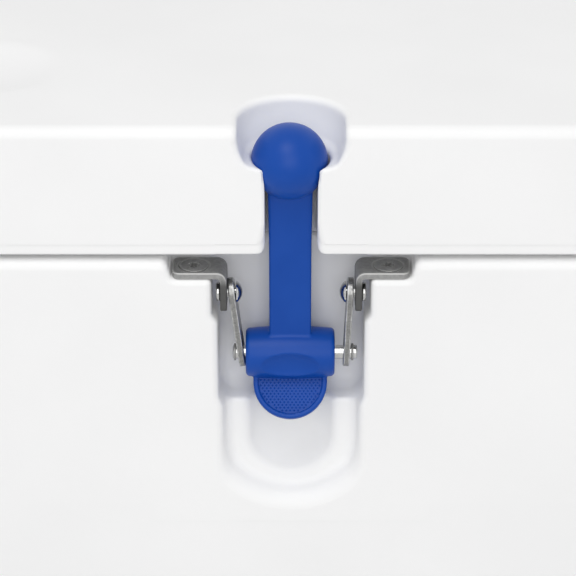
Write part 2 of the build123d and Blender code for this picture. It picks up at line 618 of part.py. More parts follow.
DRAIN_BORE_R = 8.5
DRAIN_FLANGE_R = 24.0
wet_x = CAVITY[0] / 2
with BuildPart() as drain_gasket:
    drain_ring(DRAIN_FLAT_X, DRAIN_FLAT_X + 2, DRAIN_FLANGE_R - 1, DRAIN_TUBE_R)
save(drain_gasket, "drain_gasket")
with BuildPart() as drain_fitting:
    drain_ring(wet_x - 13, DRAIN_FLAT_X + 6, DRAIN_TUBE_R, 0)
    drain_ring(DRAIN_FLAT_X + 2, DRAIN_FLAT_X + 6, DRAIN_FLANGE_R, 0)
    with Locations(Location((DRAIN_FLAT_X - 20, 0, DRAIN_Z), (0, 90, 0))):
        Cylinder(DRAIN_BORE_R, 100, mode=Mode.SUBTRACT)
save(drain_fitting, "drain_fitting")
with BuildPart() as drain_nut:
    with BuildSketch(Plane.YZ.offset(wet_x - 9)):
        with Locations((0, DRAIN_Z)):
            RegularPolygon(DRAIN_TUBE_R + 6, 6)
            Circle(DRAIN_TUBE_R, mode=Mode.SUBTRACT)
    extrude(amount=9)
save(drain_nut, "drain_nut")
with BuildPart() as plug_washer:
    drain_ring(DRAIN_FLAT_X + 6, DRAIN_FLAT_X + 8, 12.5, DRAIN_BORE_R + 0.2)
save(plug_washer, "plug_washer")
with BuildPart() as drain_plug:
    drain_ring(DRAIN_FLAT_X - 34, DRAIN_FLAT_X + 8, DRAIN_BORE_R - RUN, 0)
    drain_ring(DRAIN_FLAT_X + 8, DRAIN_FLAT_X + 11, 14.5, 0)
    with BuildSketch(Plane.YZ.offset(DRAIN_FLAT_X + 11)):
        with Locations((0, DRAIN_Z)):
            SlotOverall(27, 8)
    extrude(amount=11)
    fillet(drain_plug.edges().group_by(Axis.X)[-1], radius=1.5)
save(drain_plug, "drain_plug")
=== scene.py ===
"""A hard cooler chest with rubber T-latches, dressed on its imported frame."""
import logging
import math
from dataclasses import dataclass, field
from enum import Enum
from typing import Callable, Sequence

import bmesh
import bpy
import numpy as np
from mathutils import Matrix, Vector


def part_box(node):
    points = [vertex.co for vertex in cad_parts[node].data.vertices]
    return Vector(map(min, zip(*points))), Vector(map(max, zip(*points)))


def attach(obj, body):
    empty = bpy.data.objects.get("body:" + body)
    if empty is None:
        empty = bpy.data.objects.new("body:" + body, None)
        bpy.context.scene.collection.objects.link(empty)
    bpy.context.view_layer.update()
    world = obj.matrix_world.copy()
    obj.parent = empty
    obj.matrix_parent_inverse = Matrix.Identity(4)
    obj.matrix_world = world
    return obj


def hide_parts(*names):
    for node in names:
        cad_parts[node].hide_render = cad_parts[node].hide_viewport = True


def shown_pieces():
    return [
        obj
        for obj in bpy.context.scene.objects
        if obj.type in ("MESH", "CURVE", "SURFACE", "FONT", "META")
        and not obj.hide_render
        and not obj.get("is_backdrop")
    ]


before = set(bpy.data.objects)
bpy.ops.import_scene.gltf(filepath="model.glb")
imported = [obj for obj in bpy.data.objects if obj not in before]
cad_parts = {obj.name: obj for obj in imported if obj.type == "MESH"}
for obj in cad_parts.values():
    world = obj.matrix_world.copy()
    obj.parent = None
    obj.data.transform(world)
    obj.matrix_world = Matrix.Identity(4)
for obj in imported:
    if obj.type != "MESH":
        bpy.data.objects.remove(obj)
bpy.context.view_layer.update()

LOG = logging.getLogger("cooler")
MM = 0.001
# The mesh mark that carries painted light: painted highlights on steel edges and painted shade on the
# brackets' legs.
EDGE = "edge_highlight_and_leg_shade"
Pair = tuple[float, float]
Triple = tuple[float, float, float]
Inputs = dict[str | int, object]


# ---------------------------------------------------------------- node trees
def connect(tree: bpy.types.NodeTree, node: bpy.types.Node, inputs: Inputs) -> bpy.types.Node:
    """Links or sets a node's inputs.

    Args:
        tree: the node tree.
        node: the node.
        inputs: each input's name or number, with the socket or the value that it gets.

    Returns:
        The same node.
    """
    for label, source in inputs.items():
        if isinstance(source, bpy.types.NodeSocket):
            tree.links.new(source, node.inputs[label])
        else:
            node.inputs[label].default_value = source
    return node


def add_node(
    tree: bpy.types.NodeTree, kind: str, inputs: Inputs | None = None, **settings: object,
) -> bpy.types.Node:
    """Adds a node to a tree.

    Args:
        tree: the node tree.
        kind: the node's type.
        inputs: each input's name or number, with the socket or the value that it gets.
        settings: the node's own properties, which are set before its inputs.

    Returns:
        The node.
    """
    node = tree.nodes.new(kind)
    for label, value in settings.items():
        setattr(node, label, value)
    return connect(tree, node, inputs or {})


def grain_group() -> bpy.types.NodeTree:
    """Builds the fine surface grain: a height and a slow mottle, both from noise on Object coordinates.

    Returns:
        A group with inputs Grain Scale and Mottle Scale, and outputs Height and Mottle.
    """
    tree = bpy.data.node_groups.new("SurfaceGrain", "ShaderNodeTree")
    channels = (("Height", "Grain Scale", 900.0, 3.0), ("Mottle", "Mottle Scale", 30.0, 2.0))
    for output, scale, usual, _ in channels:
        socket = tree.interface.new_socket(name=scale, in_out="INPUT", socket_type="NodeSocketFloat")
        socket.default_value = usual
        tree.interface.new_socket(name=output, in_out="OUTPUT", socket_type="NodeSocketFloat")
    start, end = tree.nodes.new("NodeGroupInput"), tree.nodes.new("NodeGroupOutput")
    coords = tree.nodes.new("ShaderNodeTexCoord")
    for output, scale, _, detail in channels:
        sources = {"Vector": coords.outputs["Object"], "Scale": start.outputs[scale], "Detail": detail}
        noise = add_node(tree, "ShaderNodeTexNoise", sources)
        connect(tree, end, {output: noise.outputs["Fac"]})
    return tree


@dataclass(frozen=True)
class Finish:
    """A surface finish with its colour, gloss and grain.

    Attributes:
        label: the material's name.
        low: linear colour in the mottle's valleys.
        high: linear colour on its peaks.
        roughness: the gloss range, from valleys to peaks.
        metallic: 1 for steel.
        grain_scale: grain cells per metre.
        mottle_scale: mottle cells per metre.
        bump_mm: grain height in millimetres.
        specular: the shine of what isn't metal.
        polish_and_highlight: linear colour of rounded edges, partly polish from handling and partly a painted
            highlight where lamps would glint, on vertices that the mesh marks with up to 1.
        painted_shade: linear colour of painted shade, which darkens the faces that the mesh marks with down
            to -1: the brackets' legs, painted darker than their flanges.
        mottle_band: the noise values at which the colour starts and ends its change.
        gloss_band: the same for the gloss.
    """

    label: str
    low: Triple
    high: Triple
    roughness: Pair = (0.4, 0.5)
    metallic: float = 0.0
    grain_scale: float = 900.0
    mottle_scale: float = 30.0
    bump_mm: float = 0.03
    specular: float = 0.5
    polish_and_highlight: Triple | None = None
    painted_shade: Triple = (0.13, 0.13, 0.128)
    mottle_band: Pair = (0.35, 0.65)
    gloss_band: Pair = (0.3, 0.7)

    def colour(self, tree: bpy.types.NodeTree, mottle: bpy.types.NodeSocket) -> bpy.types.NodeSocket:
        """Mixes the colour from the mottle and from the mesh's marks, which lay painted highlights on edges
        and painted shade on the brackets' legs.

        Args:
            tree: the material's node tree.
            mottle: the mottle's socket.

        Returns:
            The colour's socket.
        """
        ramp = add_node(tree, "ShaderNodeValToRGB", {"Fac": mottle})
        for stop, spot, tone in zip(ramp.color_ramp.elements, self.mottle_band, (self.low, self.high)):
            stop.position, stop.color = spot, (*tone, 1.0)
        colour = ramp.outputs["Color"]
        if self.polish_and_highlight:
            mark = add_node(tree, "ShaderNodeAttribute", attribute_name=EDGE)
            # Painted light: marked edges lighten, partly as polish and partly as a painted highlight, and the
            # brackets' legs darken as painted shade.
            for sign, tone in ((-1.0, self.painted_shade), (1.0, self.polish_and_highlight)):
                factors = {0: mark.outputs["Fac"], 1: sign}
                share = add_node(tree, "ShaderNodeMath", factors, operation="MULTIPLY")
                sources = {"Factor": share.outputs[0], "A": colour, "B": (*tone, 1.0)}
                colour = add_node(tree, "ShaderNodeMix", sources, data_type="RGBA").outputs["Result"]
        return colour

    def build(self, grain: bpy.types.NodeTree) -> bpy.types.Material:
        """Makes the material.

        Args:
            grain: the shared grain group.

        Returns:
            The finished material.
        """
        material = bpy.data.materials.new(self.label)
        material.use_nodes = True
        tree = material.node_tree
        scales = {"Grain Scale": self.grain_scale, "Mottle Scale": self.mottle_scale}
        group = add_node(tree, "ShaderNodeGroup", scales, node_tree=grain)
        height = group.outputs["Height"]
        gloss = add_node(tree, "ShaderNodeMapRange", {
            "Value": height, "From Min": self.gloss_band[0], "From Max": self.gloss_band[1],
            "To Min": self.roughness[0], "To Max": self.roughness[1],
        })
        bump = add_node(tree, "ShaderNodeBump", {
            "Strength": 1.0, "Distance": self.bump_mm * MM, "Height": height,
        })
        connect(tree, tree.nodes["Principled BSDF"], {
            "Metallic": self.metallic, "Specular IOR Level": self.specular,
            "Base Color": self.colour(tree, group.outputs["Mottle"]),
            "Roughness": gloss.outputs["Result"], "Normal": bump.outputs["Normal"],
        })
        return material


class Look(Enum):
    """The finishes of the chest."""

    MOULDING = Finish("WhiteMoulding", (0.92, 0.92, 0.92), (0.94, 0.94, 0.94), (0.40, 0.50),
                      grain_scale=700.0, mottle_scale=14.0, bump_mm=0.015, specular=0.35)
    RUBBER = Finish("BlueRubber", (0.001, 0.059, 0.355), (0.003, 0.065, 0.375), (0.34, 0.42),
                    grain_scale=1500.0, mottle_scale=60.0, bump_mm=0.012, specular=0.25)
    # The lighter steel edge colours below are partly polish and partly painted highlights.
    STEEL = Finish("BlastedStainless", (0.34, 0.34, 0.337), (0.40, 0.40, 0.396), (0.58, 0.7), 1.0,
                   grain_scale=2600.0, mottle_scale=700.0, bump_mm=0.02, polish_and_highlight=(0.52, 0.52, 0.51))
    LINK_STEEL = Finish("CutStainless", (0.24, 0.24, 0.235), (0.34, 0.34, 0.333), (0.26, 0.38), 1.0,
                        grain_scale=2200.0, mottle_scale=1400.0, bump_mm=0.03, polish_and_highlight=(0.72, 0.72, 0.71))
    BRIGHT_STEEL = Finish("TurnedStainless", (0.50, 0.50, 0.49), (0.62, 0.62, 0.61), (0.12, 0.2), 1.0,
                          grain_scale=1200.0, mottle_scale=300.0, bump_mm=0.005, polish_and_highlight=(0.75, 0.75, 0.74))
    SEAL = Finish("LidSeal", (0.10, 0.10, 0.11), (0.13, 0.13, 0.14), (0.55, 0.65))
    FOAM = Finish("CoreFoam", (0.72, 0.62, 0.36), (0.80, 0.70, 0.44), (0.8, 0.9), mottle_scale=200.0)
    BLACK_RUBBER = Finish("BlackRubber", (0.022, 0.022, 0.024), (0.035, 0.035, 0.037), (0.5, 0.65))
    GREY_PLASTIC = Finish("GreyPlastic", (0.16, 0.165, 0.17), (0.20, 0.205, 0.21), (0.35, 0.45))


LOOKS = (
    (Look.MOULDING, ("body_floor", "body_front", "body_back", "body_left", "body_right", "lid_shell")),
    (Look.FOAM, ("body_foam", "lid_foam")),
    (Look.SEAL, ("lid_gasket",)),
    (Look.RUBBER, ("latch_strap",)),
    (Look.BRIGHT_STEEL, ("latch_pin", "latch_rivets", "pin_rings", "hinge_rod", "hinge_caps", "handle_bail")),
    (Look.LINK_STEEL, ("latch_link",)),
    (Look.STEEL, ("latch_", "bracket_", "handle_brackets", "handle_screws", "foot_screws")),
    (Look.BLACK_RUBBER, ("drain_gasket", "plug_washer", "foot_", "handle_grip")),
    (Look.GREY_PLASTIC, ("",)),
)


def look_of(node: str) -> Look:
    """Chooses a CAD node's look: that of the first row of LOOKS which holds a start of its name."""
    return next(look for look, starts in LOOKS if node.startswith(starts))


@dataclass
class Paint:
    """Builds each finish once and hands it out.

    Attributes:
        grain: the grain group that all finishes share.
        made: the materials made so far.
    """

    grain: bpy.types.NodeTree = field(default_factory=grain_group)
    made: dict[Look, bpy.types.Material] = field(default_factory=dict)

    def get(self, look: Look) -> bpy.types.Material:
        """Finds the material of a look and makes it at its first use.

        Args:
            look: the look.

        Returns:
            Its material.
        """
        if look not in self.made:
            self.made[look] = look.value.build(self.grain)
        return self.made[look]

    def dress(self, thing: bpy.types.Object, look: Look) -> None:
        """Gives an object one finish on all its faces."""
        thing.data.materials.clear()
        thing.data.materials.append(self.get(look))

    def attach(self, thing: bpy.types.Object, body: str, look: Look, *nodes: str) -> None:
        """Dresses a finished piece and lets it ride on a body.

        Args:
            thing: the piece.
            body: the CAD body it moves with.
            look: its look.
            nodes: the CAD nodes it stands for.
        """
        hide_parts(*nodes)
        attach(thing, body)
        self.dress(thing, look)


# ---------------------------------------------------------------- distance fields, in millimetres
Field = Callable[[np.ndarray], np.ndarray]


def join_round(a: np.ndarray, b: np.ndarray, radius: float) -> np.ndarray:
    """Unites two distances, with a fillet of the given radius in the inner corner."""
    corner = np.hypot(np.maximum(radius - a, 0.0), np.maximum(radius - b, 0.0))
    return np.maximum(radius, np.minimum(a, b)) - corner


def meet_round(a: np.ndarray, b: np.ndarray, radius: float) -> np.ndarray:
    """Intersects two distances, with the outer corner rounded to the given radius."""
    corner = np.hypot(np.maximum(radius + a, 0.0), np.maximum(radius + b, 0.0))
    return np.minimum(-radius, np.maximum(a, b)) + corner


def cut_round(a: np.ndarray, b: np.ndarray, radius: float) -> np.ndarray:
    """Takes b away from a and rounds the edge that it leaves."""
    return meet_round(a, -b, radius)


def step_smooth(value: np.ndarray, low: float, high: float) -> np.ndarray:
    """Rises smoothly from 0 at low to 1 at high."""
    t = np.clip((value - low) / (high - low), 0.0, 1.0)
    return t * t * (3.0 - 2.0 * t)


def edge_mark(shape: Field, points: np.ndarray, radius: float) -> np.ndarray:
    """Finds the rounded edges of a field from how much it curves.

    Args:
        shape: the distance field.
        points: places on its surface.
        radius: the edges' rounding.

    Returns:
        1 on a rounded edge, 0 on flat and hollow places.
    """
    reach, gain, least = 0.35 * radius, 1.6, 0.3
    total = -6.0 * shape(points)
    for axis in range(3):
        nudge = np.zeros(3)
        nudge[axis] = reach
        total += shape(points + nudge) + shape(points - nudge)
    return np.clip(gain * total * radius / reach ** 2 - least, 0.0, 1.0)


@dataclass
class Block:
    """A box of a distance field, meshed by surface nets with exact faces where the box cuts the field.

    Attributes:
        field: the distance field.
        low: the box's lower corner.
        high: its upper corner.
        step: the cell size asked for.
        batches: how many parts the field is worked out in, to save memory.
        passes: how often the vertices slide towards the surface.
        nudge: how far apart the field's slope is measured, each way.
        least_slope: the smallest squared slope that a vertex divides by.
    """

    field: Field
    low: Triple
    high: Triple
    step: float
    batches: int = 16
    passes: int = 4
    nudge: float = 0.02
    least_slope: float = 0.05

    def mesh(self) -> tuple[np.ndarray, np.ndarray]:
        """Meshes the part of the field that lies in the box.

        Returns:
            The vertices and the quads, facing outwards.
        """
        low, high = np.array(self.low, float), np.array(self.high, float)
        cells = np.maximum(np.round((high - low) / self.step), 2).astype(int)
        pitch = (high - low) / cells
        counts = cells + 2
        lines = [low[i] + pitch[i] * (np.arange(counts[i]) - 0.5) for i in range(3)]
        grid = np.stack(np.meshgrid(*lines, indexing="ij"), axis=-1).reshape(-1, 3)
        parts = np.array_split(grid, self.batches)
        true = np.concatenate([self.field(part) for part in parts]).reshape(counts)
        value = np.full(counts, self.step)
        core = (slice(1, -1),) * 3
        value[core] = true[core]
        value[value == 0.0] = 1e-9
        shifts = [(i, j, k) for i in (0, 1) for j in (0, 1) for k in (0, 1)]
        picked = [tuple(slice(s, counts[a] - 1 + s) for a, s in enumerate(shift)) for shift in shifts]
        corner = np.stack([value[p] for p in picked], axis=-1)
        real = np.stack([true[p] for p in picked], axis=-1)
        inside = corner < 0
        active = inside.any(-1) & ~inside.all(-1)
        where = np.argwhere(active)
        corner, real = corner[active], real[active]
        total, hits = np.zeros((len(where), 3)), np.zeros(len(where))
        for m in range(8):
            for n in range(m + 1, 8):
                a, b = np.array(shifts[m], float), np.array(shifts[n], float)
                if np.abs(a - b).sum() != 1:
                    continue
                crossed = (corner[:, m] < 0) != (corner[:, n] < 0)
                t = corner[crossed, m] / (corner[crossed, m] - corner[crossed, n])
                total[crossed] += a + t[:, None] * (b - a)
                hits[crossed] += 1
        vertices = low - 0.5 * pitch + (where + total / hits[:, None]) * pitch
        at_low, at_high = where == 0, where == counts - 2
        vertices = np.where(at_low, low, np.where(at_high, high, vertices))
        free = ~(at_low | at_high)
        surface = (real < 0).any(-1) & ~(real < 0).all(-1)
        self.slide(vertices, free, surface)
        number = np.full(active.shape, -1)
        number[active] = np.arange(len(where))
        return vertices, self.quads(value, number)

    def slide(self, vertices: np.ndarray, free: np.ndarray, surface: np.ndarray) -> None:
        """Slides vertices onto the field's surface, in place.

        Args:
            vertices: all vertices.
            free: the axes that each one may move on.
            surface: which of them lie near the surface.
        """
        for _ in range(self.passes):
            points = vertices[surface]
            here = self.field(points)
            slope = np.zeros_like(points)
            for axis in range(3):
                nudge = np.zeros(3)
                nudge[axis] = self.nudge
                rise = self.field(points + nudge) - self.field(points - nudge)
                slope[:, axis] = rise / (2.0 * self.nudge)
            slope *= free[surface]
            length = np.maximum((slope ** 2).sum(1), self.least_slope)
            move = slope * (here / length)[:, None]
            limit = 0.5 * self.step / np.maximum(np.linalg.norm(move, axis=1), 1e-9)
            vertices[surface] = points - move * np.minimum(limit, 1.0)[:, None]

    @staticmethod
    def quads(value: np.ndarray, number: np.ndarray) -> np.ndarray:
        """Joins the four cells around each crossed grid line.

        Args:
            value: the field at the grid's points.
            number: each cell's vertex.

        Returns:
            The quads.
        """
        found = []
        for axis in range(3):
            u, v = (axis + 1) % 3, (axis + 2) % 3
            inner = [slice(1, -1)] * 3
            inner[axis] = slice(0, -1)
            first = value[tuple(inner)] < 0
            inner[axis] = slice(1, None)
            second = value[tuple(inner)] < 0
            spots = np.argwhere(first != second)
            rising = first[tuple(spots.T)]
            base = spots.copy()
            base[:, u] += 1
            base[:, v] += 1
            ring = []
            for du, dv in ((-1, -1), (0, -1), (0, 0), (-1, 0)):
                cell = base.copy()
                cell[:, u] += du
                cell[:, v] += dv
                ring.append(number[tuple(cell.T)])
            quad = np.stack(ring, axis=1)
            quad[~rising] = quad[~rising][:, ::-1]
            found.append(quad)
        return np.concatenate(found)


# ---------------------------------------------------------------- meshes and objects
def link_object(name: str, data: bpy.types.ID) -> bpy.types.Object:
    """Makes an object of some data and links it to the scene.

    Args:
        name: the object's name.
        data: its mesh, camera or lamp.

    Returns:
        The object.
    """
    thing = bpy.data.objects.new(name, data)
    bpy.context.scene.collection.objects.link(thing)
    return thing


def mesh_object(
    name: str, vertices: np.ndarray, faces: Sequence, sharp_deg: float = 42.0, mark: np.ndarray | None = None,
) -> bpy.types.Object:
    """Makes a shaded mesh object from arrays in metres.

    Args:
        name: the object's name.
        vertices: its vertices.
        faces: its faces.
        sharp_deg: edges sharper than this stay crisp.
        mark: each vertex's painted light, from -1 where painted shade darkens it to 1 where a lighter edge
            stands for polish and a painted highlight.

    Returns:
        The linked object.
    """
    mesh = bpy.data.meshes.new(name)
    mesh.from_pydata(vertices.tolist(), [], faces.tolist() if isinstance(faces, np.ndarray) else faces)
    mesh.polygons.foreach_set("use_smooth", [True] * len(mesh.polygons))
    mesh.set_sharp_from_angle(angle=math.radians(sharp_deg))
    if mark is not None:
        mesh.attributes.new(EDGE, "FLOAT", "POINT").data.foreach_set("value", mark.astype(np.float32))
    mesh.validate()
    return link_object(name, mesh)


def mend(thing: bpy.types.Object, reach: float, turn: bool = True) -> bpy.types.Object:
    """Merges a mesh's doubled vertices.

    Args:
        thing: the object.
        reach: how close two vertices are that become one, in metres.
        turn: whether its faces are turned outwards as well.

    Returns:
        The same object.
    """
    shape = bmesh.new()
    shape.from_mesh(thing.data)
    bmesh.ops.remove_doubles(shape, verts=shape.verts, dist=reach)
    if turn:
        bmesh.ops.recalc_face_normals(shape, faces=shape.faces)
    shape.to_mesh(thing.data)
    shape.free()
    return thing


def settle(thing: bpy.types.Object) -> None:
    """Bakes an object's modifiers into its mesh.

    Args:
        thing: the object.
    """
    graph = bpy.context.evaluated_depsgraph_get()
    baked = bpy.data.meshes.new_from_object(thing.evaluated_get(graph))
    thing.modifiers.clear()
    thing.data = baked


def box_object(low: Sequence[float], high: Sequence[float]) -> bpy.types.Object:
    """Makes a box that cuts others.

    Args:
        low: its lower corner, in metres.
        high: its upper corner.

    Returns:
        The box.
    """
    ends = (low, high)
    spots = [(ends[i][0], ends[j][1], ends[k][2]) for i in (0, 1) for j in (0, 1) for k in (0, 1)]
    faces = [(0, 1, 3, 2), (4, 6, 7, 5), (0, 4, 5, 1), (2, 3, 7, 6), (0, 2, 6, 4), (1, 5, 7, 3)]
    return mesh_object("Cutter", np.array(spots), faces)


def boxed_copy(
    node: str, name: str, holes: Sequence[tuple[Sequence[float], Sequence[float]]],
) -> bpy.types.Object:
    """Copies a CAD node with boxes taken out of it.

    Args:
        node: the CAD node.
        name: the copy's name.
        holes: each box's lower and upper corner, in metres.

    Returns:
        The copy, which leaves the node as it was.
    """
    thing = link_object(name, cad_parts[node].data.copy())
    for stale in ("custom_normal", "sharp_edge", "sharp_face"):
        if stale in thing.data.attributes:
            thing.data.attributes.remove(thing.data.attributes[stale])
    mend(thing, 1e-6, False)
    cutters = [box_object(low, high) for low, high in holes]
    for cutter in cutters:
        cut = thing.modifiers.new("Cut", "BOOLEAN")
        cut.operation, cut.solver, cut.object = "DIFFERENCE", "EXACT", cutter
    settle(thing)
    for cutter in cutters:
        bpy.data.objects.remove(cutter)
    return thing


def smooth_planes(thing: bpy.types.Object, sharp_deg: float = 40.0) -> None:
    """Shades an object so that its wide flat faces stay flat up to their rounded edges.

    Args:
        thing: the object.
        sharp_deg: edges sharper than this stay crisp.
    """
    mesh = thing.data
    mesh.polygons.foreach_set("use_smooth", [True] * len(mesh.polygons))
    mesh.set_sharp_from_angle(angle=math.radians(sharp_deg))
    weigh = thing.modifiers.new("Weigh", "WEIGHTED_NORMAL")
    weigh.mode, weigh.keep_sharp, weigh.weight = "FACE_AREA_WITH_ANGLE", True, 50
    settle(thing)


def merge(things: list[bpy.types.Object], name: str) -> bpy.types.Object:
    """Joins objects into the first one.

    Args:
        things: the objects.
        name: what the result is called.

    Returns:
        The first object.
    """
    with bpy.context.temp_override(active_object=things[0], selected_editable_objects=things):
        bpy.ops.object.join()
    things[0].name = things[0].data.name = name
    return things[0]


def box_mm(node: str) -> tuple[np.ndarray, np.ndarray]:
    """Returns a CAD node's lowest and highest corners, in millimetres."""
    low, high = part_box(node)
    return np.array(low) / MM, np.array(high) / MM


class Tree:
    """A Geometry Nodes tree under construction, whose result becomes a plain mesh."""

    def __init__(self, name: str, sizes: dict[str, float]) -> None:
        """Starts the tree.

        Args:
            name: its name.
            sizes: the name and value of each size, which become its inputs.
        """
        self.sizes = sizes
        self.tree = bpy.data.node_groups.new(name, "GeometryNodeTree")
        for way in ("INPUT", "OUTPUT"):
            self.tree.interface.new_socket(name="Geometry", in_out=way, socket_type="NodeSocketGeometry")
        self.sockets = {
            label: self.tree.interface.new_socket(name=label, in_out="INPUT", socket_type="NodeSocketFloat")
            for label in sizes
        }
        self.start = self.tree.nodes.new("NodeGroupInput")
        self.end = self.tree.nodes.new("NodeGroupOutput")

    def add(self, kind: str, inputs: Inputs | None = None, **settings: object) -> bpy.types.Node:
        """Adds a node.

        Args:
            kind: the node's type.
            inputs: each input's name or number, with a socket, a value or the name of one of the sizes.
            settings: the node's own properties.

        Returns:
            The node.
        """
        sources = {
            label: self.start.outputs[source] if isinstance(source, str) else source
            for label, source in (inputs or {}).items()
        }
        return add_node(self.tree, kind, sources, **settings)

    def math(self, operation: str, *terms: bpy.types.NodeSocket | float | str) -> bpy.types.NodeSocket:
        """Adds a sum of sockets, numbers or named sizes and returns its result."""
        return self.add("ShaderNodeMath", dict(enumerate(terms)), operation=operation).outputs[0]

    def sow(
        self, points: bpy.types.NodeSocket, instance: bpy.types.NodeSocket, material: bpy.types.Material,
    ) -> None:
        """Ends the tree with an instance on each point, made real and given its material.

        Args:
            points: where the instances go.
            instance: what goes there.
            material: their material.
        """
        sown = self.add("GeometryNodeInstanceOnPoints", {"Points": points, "Instance": instance})
        real = self.add("GeometryNodeRealizeInstances", {0: sown.outputs["Instances"]})
        coat = self.add("GeometryNodeSetMaterial", {"Geometry": real.outputs[0], "Material": material})
        connect(self.tree, self.end, {0: coat.outputs[0]})

    def make(self, name: str, spot: Vector, turn: Matrix) -> bpy.types.Object:
        """Runs the tree, whose sizes are in millimetres, and puts the result in its place.

        Args:
            name: the object's name.
            spot: where the tree's origin goes, in metres.
            turn: how it is turned.

        Returns:
            A plain mesh object.
        """
        thing = link_object(name, bpy.data.meshes.new(name))
        grow = thing.modifiers.new("Grow", "NODES")
        grow.node_group = self.tree
        for label, value in self.sizes.items():
            grow[self.sockets[label].identifier] = value
        settle(thing)
        thing.data.name = name
        thing.data.transform(Matrix.LocRotScale(spot, turn, Vector((MM,) * 3)))
        return thing


# ---------------------------------------------------------------- latch layout, in millimetres
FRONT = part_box("body_front")[0][1]
MIDDLES = {"left": -0.150, "right": 0.150}
BODY_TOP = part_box("body_front")[1][2] / MM
LID_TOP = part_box("lid_shell")[1][2] / MM
CREASE = BODY_TOP - 120.0
LID_LOW = BODY_TOP + 2.4
LID_SEAM = LID_LOW + 4.4
BALL = np.array([0.0, 12.5, BODY_TOP + 39.3])
BALL_R = 16.0
PIN = np.array([0.0, 12.0, BODY_TOP - 50.5])
PIN_R = 3.0
PIN_SHIFT = 1.5
RIVET = np.array([25.0, 9.0, BODY_TOP - 19.8])
FLANGE = BODY_TOP - 7.2
STEEL_T = 2.9
CONE = 1.1
CONE_TRUE = 0.67


def place(points: np.ndarray, middle: float) -> np.ndarray:
    """Takes latch coordinates in millimetres to the chest's own in metres.

    Args:
        points: X from the latch's middle, Y behind the front face, and height.
        middle: the latch's X, in metres.

    Returns:
        The points in metres.
    """
    return points * MM + np.array([middle, FRONT, 0.0])


def ease_edge(thing: bpy.types.Object, still: float, full: float, drop: float) -> bpy.types.Object:
    """Lowers a moulding's edge along the front seam, fading out behind the front face.

    Args:
        thing: the moulding, at the origin.
        still: the height where nothing moves yet.
        full: the height from which the whole drop applies, above or below still.
        drop: how far the edge comes down, in millimetres.

    Returns:
        The same object.
    """
    near, far = 8.0, 26.0
    mesh = thing.data
    spots = np.empty(len(mesh.vertices) * 3, np.float32)
    mesh.vertices.foreach_get("co", spots)
    spots = spots.reshape(-1, 3)
    height = (spots[:, 2] / MM - still) / (full - still)
    share = step_smooth(height, 0.0, 1.0) * (1.0 - step_smooth((spots[:, 1] - FRONT) / MM, near, far))
    spots[:, 2] -= drop * MM * share
    mesh.vertices.foreach_set("co", spots.ravel())
    mesh.update()
    return thing


@dataclass
class Moulding:
    """A white moulding that keeps its CAD shape except round each latch, where a field remakes it.

    Attributes:
        paint: where its finish comes from.
        node: the CAD node it stands for.
        name: the finished piece's name.
        body: the body it rides on.
        reach: the half width and depth of the region round a latch.
        heights: where that region starts and ends.
        step: the field's cell size.
        seam: where the seam's edge starts to come down, where it has come down, and how far.
    """

    paint: Paint
    node: str = ""
    name: str = ""
    body: str = ""
    reach: Pair = (0.0, 0.0)
    heights: Pair = (0.0, 0.0)
    step: float = 1.0
    seam: Triple = (0.0, 0.0, 0.0)

    def field(self, p: np.ndarray) -> np.ndarray:
        """Measures the moulding around one latch, in latch coordinates."""
        raise NotImplementedError

    def build(self) -> None:
        """Makes the moulding with both latch regions remade, and lets it ride on its body."""
        (wide, deep), (low, high) = self.reach, self.heights
        corner, top = (-wide, 0.0, low), (wide, deep, high)
        vertices, quads = Block(self.field, corner, top, self.step).mesh()
        over = 0.02
        holes, blocks = [], []
        for side, middle in MIDDLES.items():
            start, end = place(np.array([corner, top]), middle)
            holes.append((start - (0, over, 0), end + (0, 0, over)))
            blocks.append(mesh_object(f"region_{side}", place(vertices, middle), quads))
        rest = boxed_copy(self.node, "rest", holes)
        smooth_planes(rest)
        thing = ease_edge(merge([rest, *blocks], self.name), *self.seam)
        self.paint.attach(thing, self.body, Look.MOULDING, self.node)


